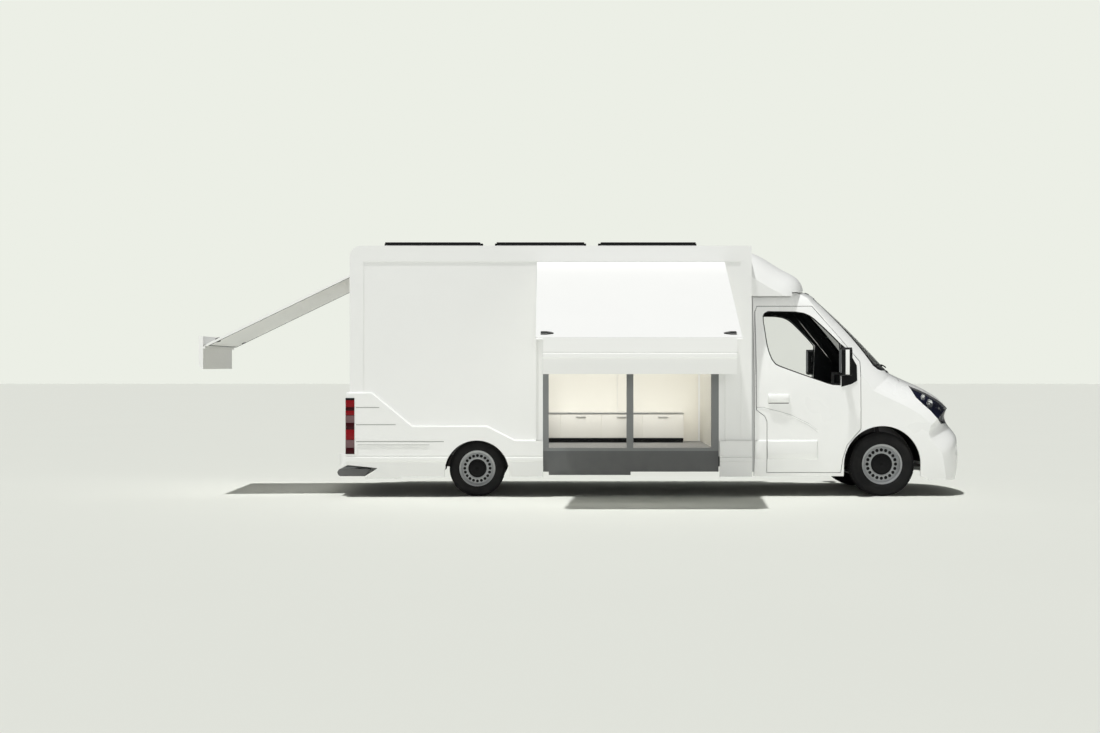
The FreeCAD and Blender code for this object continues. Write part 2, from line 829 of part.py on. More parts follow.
# Serving side: frame with two fixed panes, counter, plinth with its folded step
frame_out = -(wall_inside + 5)
frame_in = frame_out + of.frame_depth
glass_low = of.floor_top + 16
rail_top = of.counter_height
left_edge = clear_rear + of.post_rear
right_edge = clear_front - of.post_front
post_place = (left_edge + right_edge) / 2 - of.post_middle / 2
frame_parts = [
    block("PostRear", clear_rear, left_edge, frame_out, frame_in, of.floor_top, rail_top),
    block("PostFront", right_edge, clear_front, frame_out, frame_in, of.floor_top, rail_top),
    block("PostMiddle", post_place, post_place + of.post_middle, frame_out, frame_in, of.floor_top,
          rail_top),
    block("RailLow", clear_rear, clear_front, frame_out, frame_in, of.floor_top, glass_low),
    block("RailLip", clear_rear + 3, clear_front - 3, frame_out - 5, -wall_inside, of.plinth_top,
          glass_low),
    block("RailCounter", clear_rear, clear_front, frame_out, frame_in, rail_top - of.counter_rail,
          rail_top),
]
finished("serving_frame", fused("ServingFrame", frame_parts))
surround_parts = [
    block("JambRear", clear_rear, left_edge, frame_out, frame_in, rail_top, header_line),
    block("JambFront", right_edge, clear_front, frame_out, frame_in, rail_top, header_line),
    block("RailHeader", clear_rear, clear_front, frame_out, frame_in, header_line - of.counter_rail,
          header_line),
]
finished("serving_surround", fused("ServingSurround", surround_parts))
pane_y = (frame_out + frame_in) / 2 - of.pane_thickness / 2
serving_panes = [
    block("PaneRear", left_edge, post_place, pane_y, pane_y + of.pane_thickness, glass_low,
          rail_top - of.counter_rail),
    block("PaneFront", post_place + of.post_middle, right_edge, pane_y, pane_y + of.pane_thickness,
          glass_low, rail_top - of.counter_rail),
]
finished("serving_counter", block("Counter", left_edge, right_edge, frame_out,
                                  frame_out + of.counter_depth, rail_top,
                                  rail_top + of.counter_thickness))
plinth_back = block("PlinthPlate", clear_rear + 3, clear_front - 3, -wall_inside - of.plinth_thickness,
                    -wall_inside, of.plinth_bottom, of.plinth_top)
plinth_floor = block("PlinthFloor", clear_rear + 3, clear_front - 3, -wall_inside,
                     of.step_depth - wall_inside, of.plinth_bottom,
                     of.plinth_bottom + of.plinth_thickness)
step_case = block("StepCase", of.step_rear, of.step_rear + of.step_length, -wall_inside,
                  -wall_inside + of.step_depth, of.plinth_bottom - of.step_height, of.plinth_bottom)
finished("serving_plinth", fused("ServingPlinth", [plinth_back, plinth_floor, step_case]))

# Inside the box
finished("interior_bench", padded("Bench", "YZ_Plane", [
    (of.bench_front, of.floor_top + of.toe_height),
    (of.bench_front + of.toe_depth, of.floor_top + of.toe_height),
    (of.bench_front + of.toe_depth, of.floor_top),
    (wall_inside, of.floor_top),
    (wall_inside, of.bench_top),
    (of.bench_front, of.bench_top),
], of.bench_rear_end, box_front - of.bench_margin))
partition_front = box_front - of.partition_margin
finished("interior_partition", block("Partition", partition_front - of.wall_thickness, partition_front,
                                     frame_in, wall_inside, of.floor_top, roof_under))

# Hatches: each is drawn lying flat, X across, Y down the skin from its hinge, Z inwards,
# and then turned about its hinge into the place where it stands open


def skin_outline(reach):
    half = of.skin_thickness / 2
    web = 4
    edge = 20
    return [
        (0, -web),
        (edge, -web),
        (edge, -half),
        (reach - edge, -half),
        (reach - edge, -web),
        (reach, -web),
        (reach, web),
        (reach - edge, web),
        (reach - edge, half),
        (edge, half),
        (edge, web),
        (0, web),
    ]


def hatch(name, low, high, reach):
    plate = padded(name + "Plate", "YZ_Plane", skin_outline(reach), low, high)
    upper = rod(name + "Upper", of.hinge_barrel, "x", high - low, low, 0, 0)
    lower = rod(name + "Lower", of.hinge_barrel, "x", high - low, low, reach, 0)
    return fused(name + "Skin", [plate, upper, lower])


def latch(name, corner_x, reach, way, back):
    """Two teardrop handles, one on each face of a skin, tip towards the middle."""
    near = corner_x + 46 * way
    far = corner_x + 172 * way
    middle = reach - back
    half = of.skin_thickness / 2
    both = []
    for face, low, high in (("In", half, half + 2), ("Out", -half - 14, -half)):
        points = [
            (near, middle - 24),
            (near + 60 * way, middle - 24),
            (far, middle - 4),
            (far, middle + 4),
            (near + 60 * way, middle + 24),
            (near, middle + 24),
        ]
        both.append(padded(name + face, "XY_Plane", points, low, high))
    return both


side_turn = FreeCAD.Rotation(Vector(1, 0, 0), 270 - of.open_angle.amount)
rear_turn = FreeCAD.Rotation(Vector(0, 1, 0), 90 + of.open_angle.amount).multiply(
    FreeCAD.Rotation(Vector(0, 0, 1), -90)
)


def hung(node, thing, turn, x, y, z):
    thing.Placement = FreeCAD.Placement(Vector(), turn)
    finished(node, placed(thing, x, y, z))


hatch_skin = fused("ServingHatch", [hatch("Serving", of.hatch_rear_edge, hatch_front_edge, hatch_reach)]
                   + latch("LatchRear", of.hatch_rear_edge, hatch_reach, 1, 107)
                   + latch("LatchFront", hatch_front_edge, hatch_reach, -1, 107))
hung("serving_hatch", hatch_skin, side_turn, 0, side_hinge_y, hinge_height)
rear_skin = fused("RearHatch", [hatch("Rear", -of.rear_hatch_half, of.rear_hatch_half, rear_reach)]
                  + latch("LatchLeft", -of.rear_hatch_half, rear_reach, 1, of.rear_apron_rise + 40)
                  + latch("LatchRight", of.rear_hatch_half, rear_reach, -1, of.rear_apron_rise + 40))
hung("rear_hatch", rear_skin, rear_turn, rear_hinge_x, 0, rear_hinge_height)

# Aprons: they hang upright from the ends of the skins; closed, they fill the gap in the
# skirts. Their sections are drawn from the closed hinge point and moved to the open one
apron_outer = of.skirt_proud + of.skin_thickness / 2
apron_section = [
    (side_hinge_y + 6, -of.hinge_barrel - end_gap),
    (side_hinge_y - 16, -of.hinge_barrel - end_gap),
    (side_hinge_y - 16, of.apron_rise),
    (side_hinge_y - apron_outer, of.apron_rise),
    (side_hinge_y - apron_outer, -of.apron_drop + 216),
    (side_hinge_y - apron_outer + 8, -of.apron_drop + 212),
    (side_hinge_y - apron_outer + 8, -of.apron_drop + 204),
    (side_hinge_y - apron_outer - 8, -of.apron_drop + 194),
    (side_hinge_y - apron_outer - 8, -of.apron_drop + 162),
    (side_hinge_y - apron_outer + 2, -of.apron_drop + 148),
    (side_hinge_y - apron_outer + 22, -of.apron_drop),
    (side_hinge_y + 6, -of.apron_drop),
]
side_apron = padded("ServingApron", "YZ_Plane", apron_section, apron_rear, apron_front)
placed(side_apron, 0, -apron_shift_out, hinge_height - hatch_reach + apron_shift_up)
finished("serving_apron", side_apron)
rear_apron_inner = -6 - of.skin_thickness / 2
rear_apron = padded("RearApron", "XZ_Plane", [
    (rear_apron_inner + 24, -of.hinge_barrel - end_gap),
    (rear_apron_inner, -of.hinge_barrel - end_gap),
    (rear_apron_inner, of.rear_apron_rise),
    (-of.rear_apron_proud - of.skin_thickness / 2, of.rear_apron_rise),
    (-of.rear_apron_proud - of.skin_thickness / 2, 40 - of.rear_apron_drop),
    (24 - of.rear_apron_proud - of.skin_thickness / 2, -of.rear_apron_drop),
    (rear_apron_inner, -of.rear_apron_drop),
    (rear_apron_inner, -of.hinge_barrel - 20),
    (rear_apron_inner + 24, -of.hinge_barrel - 20),
], -of.rear_hatch_half + 5, of.rear_hatch_half - 5)
placed(rear_apron, rear_hinge_x - rear_shift_out, 0,
       rear_hinge_height - rear_reach + rear_shift_up)
finished("rear_apron", rear_apron)

# Cab: its side profile travels across the vehicle along a road that falls back and down
# towards the sides, and is trimmed by the outline of the body seen from the front
n = number_of


def spline(points):
    curve = Part.BSplineCurve()
    curve.interpolate([Vector(*point) for point in points])
    return curve


road_degree = 8


def pole_share(power, index):
    """What one pole holds of share ** power, where the share runs from -1 to 1 along a road."""
    total = 0
    for ahead in range(power + 1):
        ways = math.comb(index, ahead) * math.comb(road_degree - index, power - ahead)
        total += ways * (-1) ** (power - ahead)
    return total / math.comb(road_degree, power)


def across_road(half, sweep, corner, crown, shoulder):
    poles = []
    for index in range(road_degree + 1):
        along, square, eighth = (pole_share(power, index) for power in (1, 2, road_degree))
        back = sweep * square + corner * eighth
        down = crown * square + shoulder * eighth
        poles.append(Vector(-back, half * along, -down))
    curve = Part.BezierCurve()
    curve.setPoles(poles)
    return curve.toBSpline()


def swept(wire, road):
    """The solid that a closed profile leaves as it slides, unturned, along a road."""
    faces = []
    road_poles = road.getPoles()
    for edge in wire.OrderedEdges:
        curve = edge.Curve.toBSpline(edge.FirstParameter, edge.LastParameter)
        poles = [[pole + step for step in road_poles] for pole in curve.getPoles()]
        weights = [[weight for step in road_poles] for weight in curve.getWeights()]
        surface = Part.BSplineSurface()
        surface.buildFromPolesMultsKnots(
            poles, curve.getMultiplicities(), road.getMultiplicities(), curve.getKnots(),
            road.getKnots(), False, False, curve.Degree, road.Degree, weights,
        )
        faces.append(surface.toShape())
    for end in (road_poles[0], road_poles[-1]):
        faces.append(Part.Face(wire.translated(end)))
    shell = Part.Shell(faces)
    shell.sewShape()
    solid = Part.Solid(shell)
    if solid.Volume < 0:
        solid.reverse()
    return solid


def side_spline(points):
    return spline([(x, 0, z) for x, z in points]).toShape()


def side_line(start, end):
    return Part.LineSegment(Vector(start[0], 0, start[1]), Vector(end[0], 0, end[1])).toShape()


def prism(points, along, low, high):
    """A straight block with an outline in the plane across its direction."""
    place = {
        "x": lambda a, b: Vector(low, a, b),
        "y": lambda a, b: Vector(a, low, b),
        "z": lambda a, b: Vector(a, b, low),
    }[along]
    way = {"x": Vector(1, 0, 0), "y": Vector(0, 1, 0), "z": Vector(0, 0, 1)}[along]
    corners = [place(a, b) for a, b in points]
    return Part.Face(Part.makePolygon(corners + corners[:1])).extrude(way * (high - low))


def chest(x0, x1, y0, y1, z0, z1):
    return Part.makeBox(x1 - x0, y1 - y0, z1 - z0, Vector(x0, y0, z0))


def on_both(shape):
    return shape.fuse(shape.mirror(Vector(), Vector(0, 1, 0)))


# The cab is worked out with its axle at this place and then moved to the real one
drawn_axle = 4332
datum = front_axle - drawn_axle
nose = n(reach_front - datum)
below = -150
cab_start = n(cab_rear - datum)
behind = cab_start - 465
road = across_road(1060, n(of.nose_sweep), n(of.nose_corner), n(of.cab_crown), n(of.cab_shoulder))
roof_high = n(of.cab_roof)
profile_runs = [
    [(behind, below), (behind, roof_high - 32)],
    [(behind, roof_high - 32), (cab_start - 120, roof_high - 32)],
    [(cab_start - 120, roof_high - 32), (3300, roof_high), (3600, roof_high - 22), (3683, roof_high - 58)],
    [(3683, roof_high - 58), (4123, 1765), (4539, 1322)],
    [(4539, 1322), (4820, 1192), (nose - 242, 1073), (nose - 115, 956)],
    [(nose - 115, 956), (nose - 67, 719), (nose - 12, 640), (nose, 541), (nose - 14, 250), (nose - 40, 172)],
    [(nose - 40, 172), (nose - 40, below)],
    [(nose - 40, below), (behind, below)],
]


def inset_wire(runs, inset):
    """A closed outline of runs, each straight or curved, drawn this far inside the given one."""
    corners = [point for run in runs for point in run[:-1]]
    moved = {}
    for index, (x, z) in enumerate(corners):
        before = Vector(x - corners[index - 1][0], 0, z - corners[index - 1][1]).normalize()
        following = corners[(index + 1) % len(corners)]
        after = Vector(following[0] - x, 0, following[1] - z).normalize()
        inward = Vector(before.z + after.z, 0, -before.x - after.x)
        inward = inward * (inset / (1 + before.dot(after)))
        moved[(x, z)] = (x + inward.x, z + inward.z)
    edges = []
    for run in runs:
        points = [moved[point] for point in run]
        edges.append(side_line(*points) if len(points) == 2 else side_spline(points))
    return Part.Wire(edges)


def profile_form(inset):
    return swept(inset_wire(profile_runs, inset), road)


belt = n(of.cab_half_width)
side_heights = [(-54, 100), (-19, 340), (-1, 750), (0, 1050), (-19, 1330), (-99, 1740), (-172, 2030)]
roof_turn = [(-172, 2030), (-229, 2150), (-344, 2245)]


def section_form(inset, start):
    """The body seen from the front, as a straight block along the vehicle."""
    flank = [(belt + y - inset, z) for y, z in side_heights]
    rail = [(belt + y - inset, z) for y, z in roof_turn]
    edges = []
    for side in (1, -1):
        edges.append(spline([(0, y * side, z) for y, z in flank]).toShape())
        edges.append(spline([(0, y * side, z) for y, z in rail]).toShape())
    top_half, top_height = rail[-1]
    foot_half, foot_height = flank[0]
    above = 2500
    top = [(top_half, top_height), (top_half, above), (-top_half, above), (-top_half, top_height)]
    foot = [(-foot_half, foot_height), (-foot_half, below), (foot_half, below), (foot_half, foot_height)]
    for line in (top, foot):
        for first, second in zip(line, line[1:]):
            edges.append(Part.LineSegment(Vector(0, *first), Vector(0, *second)).toShape())
    face = Part.Face(Part.Wire(Part.__sortEdges__(edges)))
    face.translate(Vector(start, 0, 0))
    return face.extrude(Vector(3000, 0, 0))


skin = n(of.front_skin)
wall = n(of.cab_wall)
sill = n(of.cab_sill_bottom)
underside = prism([(cab_start - 50, sill), (4750, sill), (4850, 172), (nose + 100, 172), (nose + 100, 2600),
                   (cab_start - 50, 2600)], "y", -1200, 1200)
outer_sweep = profile_form(0)
outer = outer_sweep.common(section_form(0, cab_start)).common(underside)
inner = profile_form(wall).common(section_form(wall, cab_start - 20))
inner_skin = profile_form(skin).common(section_form(skin, cab_start - 20))
thick_wall = outer.cut(inner)
thin_wall = outer.cut(inner_skin)

gap = n(of.door_gap)
door_high = n(of.door_top)
door_low = n(of.door_bottom)
door_ahead = n(of.door_front)
door_line = [
    (3100, door_low), (3100, 800), (3075, 860), (2981, 930), (2981, 1960), (3010, door_high),
    (3600, door_high), (door_ahead, 1440), (door_ahead, 722), (3950, 548), (3905, 400), (3886, door_low),
]


def grown(points, by):
    """An outline moved outwards all round."""
    corners = [Vector(x, 0, z) for x, z in points]
    face = Part.Face(Part.makePolygon(corners + corners[:1]))
    return face.makeOffset2D(by, 2)


door_hole = grown(door_line, gap)
door_hole.translate(Vector(0, 600, 0))
door_hole = door_hole.extrude(Vector(0, 600, 0))
door_zone = prism(door_line, "y", 600, 1200)
door_zone = door_zone.common(chest(n(of.door_rear) + n(of.door_rear_gap), 4200, 500, 1300, 0, 2400))
glass_line = [
    (3191, 1409), (3150, 1463), (3121, 1537), (3101, 1619), (3092, 1685), (3068, 1882), (3068, 1936),
    (3084, 1964), (3126, 1986), (3421, 1982), (3512, 1968), (3577, 1940), (3627, 1903), (3718, 1817),
    (3816, 1718), (3899, 1632), (3886, 1187), (3800, 1191), (3750, 1204), (3561, 1270), (3455, 1306),
    (3241, 1385),
]
glass_zone = prism(glass_line, "y", 600, 1200)
screen_line = [
    (-850, 1400), (-835, 1360), (-800, 1345), (800, 1345), (835, 1360), (850, 1400), (672, 2095),
    (655, 2125), (620, 2135), (-620, 2135), (-655, 2125), (-672, 2095),
]
screen_zone = prism(screen_line, "x", 3560, 4700)

fender_start = 3870
fender_top = 1325
bonnet_back = n(of.bonnet_rear)
bonnet_half = n(of.bonnet_half)
bonnet_line = [
    (bonnet_back, bonnet_half), (4700, bonnet_half - 3), (4950, bonnet_half - 58), (5100, 600), (5165, 500),
    (5400, 500), (5400, -500), (5165, -500), (5100, -600), (4950, 58 - bonnet_half), (4700, 3 - bonnet_half),
    (bonnet_back, -bonnet_half),
]
bonnet_edge = 930
bonnet_zone = prism(bonnet_line, "z", bonnet_edge, 1500)
wide_line = [(x if x > 5300 else x - 2, y + gap if y > 0 else y - gap) for x, y in bonnet_line]
wide_line = [(4500, y) if x < bonnet_back else (x, y) for x, y in wide_line]
bonnet_room = prism(wide_line, "z", bonnet_edge - gap, 1500)
lamp_line = [(4650, 1200), (4676, 1132), (4709, 1056), (4777, 988), (4861, 913), (4906, 860), (4989, 772),
             (5400, 772), (5400, 1400), (4650, 1400)]
lamp_zone = prism(lamp_line, "y", -1200, 1200).cut(chest(4600, 5500, -540, 540, 600, 1500)).cut(bonnet_room)
bumper_high = n(of.bumper_top)
bumper_zone = prism([(4640, 560), (4925, bumper_high), (5400, bumper_high), (5400, 100), (4640, 100)],
                    "y", -1200, 1200).cut(lamp_zone)
grille_zone = chest(4900, 5400, -520, 520, bumper_high, bonnet_edge - gap)
axle = drawn_axle
hub_place = Vector(axle, -1200, n(front_hub))
arch = Part.makeCylinder(n(of.front_arch_radius), 2400, hub_place, Vector(0, 1, 0))
arch_under = chest(axle - n(of.front_arch_radius), axle + n(of.front_arch_radius), -1200, 1200, 0,
                   n(front_hub))

# Cab shell: sides, roof and back of one thickness, with floor, bulkhead and cowl shelf
upper_zone = prism([(2900, 0), (fender_start, 0), (fender_start, fender_top), (4700, fender_top),
                    (4700, 2600), (2900, 2600)], "y", -1200, 1200)
cowl_end = bonnet_back - 8
cowl_zone = chest(4000, cowl_end, -bonnet_half + 3, bonnet_half - 3, 1150, fender_top)
shell = thick_wall.common(upper_zone.fuse(cowl_zone))
shell = shell.cut(on_both(door_hole)).cut(screen_zone)
floor_high = n(floor_bottom) + n(of.cab_floor_thickness)
cab_floor = chest(cab_start, 3890, -925, 925, n(floor_bottom), floor_high)
back_wall = chest(cab_start, cab_start + wall, -1200, 1200, n(floor_bottom), 2400)
back_wall = back_wall.common(section_form(wall + gap + 4, cab_start)).common(outer)
bulkhead = prism([
    (3860, 430), (3860, 780), (4100, 840), (4100, 1300), (4130, 1300), (4130, 1270), (cowl_end, 1270),
    (cowl_end, 1245), (4130, 1245), (4130, 815), (3890, 755), (3890, 430),
], "y", 3 - bonnet_half, bonnet_half - 3).common(outer)
rockers = on_both(chest(cab_start, 3870, 880, 925, sill, n(floor_bottom)))
for piece in (cab_floor, back_wall, bulkhead, rockers):
    shell = shell.fuse(piece)
finished("cab_shell", modelled("CabShell", shell))

screen_inset = 6
screen_thickness = 8
screen = profile_form(screen_inset).cut(profile_form(screen_inset + screen_thickness)).common(screen_zone)
finished("fixed_glass", grouped("FixedGlass", [modelled("Windscreen", screen)] + serving_panes))

bonnet = thin_wall.common(bonnet_zone)
finished("bonnet", modelled("Bonnet", bonnet))
grille = thin_wall.common(grille_zone)
slot_height = 11
slot_spacing = 21
for level in range(5):
    low = bumper_high + 16 + level * slot_spacing
    for inner_end, outer_end in ((-490, -12), (12, 490)):
        grille = grille.cut(chest(4900, 5500, inner_end, outer_end, low, low + slot_height))
finished("grille", modelled("Grille", grille))
bumper = thin_wall.common(bumper_zone).cut(arch).cut(arch_under)
bumper = bumper.cut(chest(5000, 5500, -560, 560, 420, 560))
fog = on_both(Part.makeCylinder(62, 400, Vector(4950, 745, 480), Vector(1, 0, 0)))
bumper = bumper.cut(fog)
finished("front_bumper", modelled("FrontBumper", bumper))
lamp_form = profile_form(n(of.lamp_depth)).common(section_form(n(of.lamp_depth), cab_start))
lamps = outer.cut(lamp_form).common(lamp_zone)
finished("headlamps", modelled("Headlamps", lamps))

fender_zone = chest(fender_start, 5500, -1200, 1200, 0, fender_top)
fenders = thin_wall.common(fender_zone).cut(on_both(door_hole)).cut(bonnet_room).cut(lamp_zone)
fenders = fenders.cut(bumper_zone).cut(grille_zone).cut(cowl_zone).cut(arch).cut(arch_under)
liner = Part.makeCylinder(n(of.front_arch_radius) + n(of.liner_thickness), 2400, hub_place, Vector(0, 1, 0))
liner = liner.cut(arch).cut(chest(3800, 4900, -1300, 1300, -200, n(front_hub)))
liner = liner.cut(chest(3800, 4900, -560, 560, 0, 1200)).common(outer)
fenders = fenders.fuse(liner.cut(bumper)).removeSplitter()
finished("front_fenders", modelled("FrontFenders", fenders))
carrier = chest(4880, 4930, -430, 430, n(of.frame_top) - 20, 1300).common(profile_form(skin + end_gap))
finished("chassis_frame", fused("FrameWithCarrier", [chassis, modelled("LockCarrier", carrier)]))

# Doors with their glass, rub strip and handle, and the mirrors on them
flank_0 = section_form(0, cab_start)


def on_flank(proud, outline):
    return section_form(-proud, cab_start).cut(flank_0).common(prism(outline, "y", 600, 1300))


door = thick_wall.common(door_zone).cut(glass_zone)
handle = on_flank(22, [(3118, 1020), (3140, 1006), (3300, 1006), (3329, 1030), (3329, 1072), (3300, 1093),
                       (3140, 1093), (3111, 1070)])
strip = on_flank(12, [(3105, 420), (3120, 408), (3605, 408), (3622, 430), (3622, 575), (3605, 598),
                      (3120, 598), (3105, 585)])
door = door.fuse([handle, strip]).removeSplitter()
pane_out = n(of.glass_inset)
pane = section_form(pane_out, cab_start).cut(section_form(pane_out + n(of.glass_thickness), cab_start))
pane = pane.common(glass_zone)
mirror_end = n(of.mirror_reach)
sail = on_flank(9, [(3898, 1632), (3960, 1578), (3992, 1553), (4010, 1495), (4060, 1398), (4060, 1236),
                    (3996, 1200), (3892, 1172)])
arm_out = prism([(3885, 1440), (3945, 1440), (3945, 1500), (3885, 1500)], "y", 940, mirror_end - 170)
arm_out = arm_out.cut(flank_0)
head = prism([(mirror_end - 180, 1310), (mirror_end - 160, 1290), (mirror_end - 15, 1300),
              (mirror_end, 1330), (mirror_end, 1560), (mirror_end - 25, 1590), (mirror_end - 165, 1585),
              (mirror_end - 180, 1565)], "x", 3850, 3960)
cover_depth = 3
cover_seat = chest(3888, 3932, mirror_end - cover_depth, mirror_end + 1, 1304, 1568)
mirror = sail.fuse([arm_out, head]).removeSplitter().cut(cover_seat)
for side, flip in (("left", False), ("right", True)):
    for name, shape in (("door", door), ("door_glass", pane), ("mirror", mirror)):
        placed_shape = shape.mirror(Vector(), Vector(0, 1, 0)) if flip else shape
        finished(f"{name}_{side}", modelled(f"{name}_{side}_form", placed_shape))

# Inside the cab
dash_half = 890
dash = prism([(3850, 900), (3830, 1050), (3900, 1170), (4000, 1200), (4100, 1200), (4100, 900)],
             "y", -dash_half, dash_half)
wheel_place = Vector(3790, 480, 1050)
wheel_axis = Vector(-1, 0, 0.62).normalize()
grip = [(172, -8), (180, -15), (192, -12), (198, 0), (192, 12), (180, 15), (172, 8)]
grip = Part.Face(Part.makePolygon([Vector(r, 0, h) for r, h in grip + grip[:1]]))
steering = grip.revolve(Vector(), Vector(0, 0, 1), 360)
steering.Placement = FreeCAD.Placement(wheel_place, FreeCAD.Rotation(Vector(0, 0, 1), wheel_axis))
spoke = Part.makeCylinder(22, 150, wheel_place + wheel_axis * 12, wheel_axis * -1)
bar = chest(-185, 185, -22, 22, -8, 8)
bar.Placement = FreeCAD.Placement(wheel_place, FreeCAD.Rotation(Vector(0, 0, 1), wheel_axis)
                                  .multiply(FreeCAD.Rotation(Vector(0, 0, 1), 90)))
finished("dashboard", modelled("Dashboard", dash.fuse([steering, spoke, bar])))
seat_line = [(3200, floor_high), (3540, floor_high), (3560, 720), (3600, 760), (3600, 830), (3290, 830),
             (3175, 1360), (3075, 1360), (3150, 820), (3150, 740), (3200, 700)]
seat = prism(seat_line, "y", 250, 720)
both_seats = Part.makeCompound([seat, seat.mirror(Vector(), Vector(0, 1, 0))])
finished("cab_seats", modelled("CabSeats", both_seats))

# Deflector over the cab roof, a thin moulding on the front of the box
lip = n(of.fairing_skin)
fair_low = n(of.fairing_bottom)
fair_half = n(of.fairing_half)
fair_road = across_road(fair_half + 10, 130, 120, 60, 180)
box_ahead = n(box_front - datum)
crown_high = n(of.box_top) - 2
fair_runs = [
    [(box_ahead - 500, 1700), (box_ahead - 500, crown_high)],
    [(box_ahead - 500, crown_high), (box_ahead - 90, crown_high)],
    [(box_ahead - 90, crown_high), (3064, crown_high - 39), (3375, crown_high - 218),
     (3519, crown_high - 301), (3590, 2230)],
    [(3590, 2230), (3590, 1700)],
    [(3590, 1700), (box_ahead - 500, 1700)],
]
fairing = swept(inset_wire(fair_runs, 0), fair_road)
fairing_room = swept(inset_wire(fair_runs, lip), fair_road)
fairing = fairing.common(chest(box_ahead, 3800, -fair_half, fair_half, fair_low, 2700))
room_half = fair_half - lip
fairing_room = fairing_room.common(chest(box_ahead - 100, 3800, -room_half, room_half, 1900, 2700))
raised = outer_sweep.copy()
raised.translate(Vector(0, 0, 18))
fairing = fairing.cut(fairing_room).cut(raised)
fairing = fairing.cut(chest(3380, 3800, -fair_half - 20, fair_half + 20, fair_low - 20, 2190))
finished("roof_deflector", modelled("RoofDeflector", fairing))

doc.recompute()
for thing in doc.Objects:
    for state in ("Invalid", "Error"):
        if state in thing.State:
            raise RuntimeError(f"{thing.Label} did not come out: {thing.State}")
os.makedirs("parts", exist_ok=True)
for node, thing in pieces.items():
    if thing.Shape.isNull() or not thing.Shape.isValid():
        raise RuntimeError(f"{node} has no sound shape")
    thing.Shape.exportStep(os.path.join("parts", node + ".step"))
print("pieces:", len(pieces))
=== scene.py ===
# Food truck standing open for service: finishes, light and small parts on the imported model
import math

import bmesh
import bpy
from mathutils import Matrix, Vector
from mathutils.bvhtree import BVHTree


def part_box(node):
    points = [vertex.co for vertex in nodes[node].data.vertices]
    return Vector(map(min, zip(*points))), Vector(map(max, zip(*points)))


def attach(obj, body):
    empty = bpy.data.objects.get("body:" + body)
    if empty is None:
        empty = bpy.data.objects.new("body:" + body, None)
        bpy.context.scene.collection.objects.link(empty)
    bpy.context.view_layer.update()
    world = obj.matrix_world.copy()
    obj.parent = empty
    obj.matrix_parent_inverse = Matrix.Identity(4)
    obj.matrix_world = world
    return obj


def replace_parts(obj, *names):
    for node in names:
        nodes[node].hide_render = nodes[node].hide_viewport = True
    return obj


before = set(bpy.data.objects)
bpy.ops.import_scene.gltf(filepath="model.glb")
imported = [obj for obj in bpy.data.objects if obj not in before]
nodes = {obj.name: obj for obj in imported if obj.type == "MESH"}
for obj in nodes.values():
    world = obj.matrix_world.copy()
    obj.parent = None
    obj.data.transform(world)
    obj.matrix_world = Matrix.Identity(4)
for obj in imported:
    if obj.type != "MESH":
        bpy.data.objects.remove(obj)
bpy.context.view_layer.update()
scene = bpy.context.scene
sides = {"left": 1, "right": -1}
square = ((-1, -1), (1, -1), (1, 1), (-1, 1))
print("frame: loaded", len(nodes), "nodes")

# Places are in millimetres from the rear axle, the middle plane and the ground
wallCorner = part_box("box_right_wall")[0]
rearAxle = wallCorner.x + 1.355
middlePlane = wallCorner.y + 1.080


def at(x, y, z):
    return Vector((rearAxle + x / 1000, middlePlane + y / 1000, z / 1000))


def added(name, data):
    made = bpy.data.objects.new(name, data)
    scene.collection.objects.link(made)
    return made


# Camera at the photograph's place: level, square to the side, a good eighteen metres off
view = {"place": (778, -19580, 1389), "lens": 56.9, "sensor": 36, "reach": 300}
camera = added("SideCamera", bpy.data.cameras.new("SideCamera"))
camera.data.lens = view["lens"]
camera.data.sensor_width = view["sensor"]
camera.data.clip_end = view["reach"]
camera.location = at(*view["place"])
camera.rotation_euler = (math.radians(90), 0, 0)
bpy.context.scene.camera = camera
bpy.context.scene.view_settings.view_transform = "Standard"


def addNode(tree, kind, sockets=None, output=0, **settings):
    # one node: its settings first, then the values or the wires of its sockets
    made = tree.nodes.new(kind)
    for name, value in settings.items():
        setattr(made, name, value)
    for name, value in (sockets or {}).items():
        if isinstance(value, Wire):
            tree.links.new(value.socket, made.inputs[name])
        else:
            made.inputs[name].default_value = value
    return Wire(tree, made.outputs[output]) if made.outputs else None


def operator(operation, swapped=False):
    def sumOf(self, other=0.0):
        return self.maths(operation, other, self) if swapped else self.maths(operation, self, other)
    return sumOf


# Shader sums: a wire wraps a socket, and each operator adds its Math node
class Wire:
    def __init__(self, tree, socket):
        self.tree = tree
        self.socket = socket

    def maths(self, operation, first, second=0.0):
        return addNode(self.tree, "ShaderNodeMath", {0: first, 1: second}, operation=operation)

    def capped(self):
        return self.maths("MAXIMUM", self.maths("MINIMUM", self, 1.0), 0.0)

    __add__ = __radd__ = operator("ADD")
    __mul__ = __rmul__ = operator("MULTIPLY")
    __sub__ = operator("SUBTRACT")
    __rsub__ = operator("SUBTRACT", True)
    __truediv__ = operator("DIVIDE")
    __gt__ = operator("GREATER_THAN")
    __lt__ = operator("LESS_THAN")
    __mod__ = operator("FLOORED_MODULO")
    __abs__ = operator("ABSOLUTE")


finishes = {}


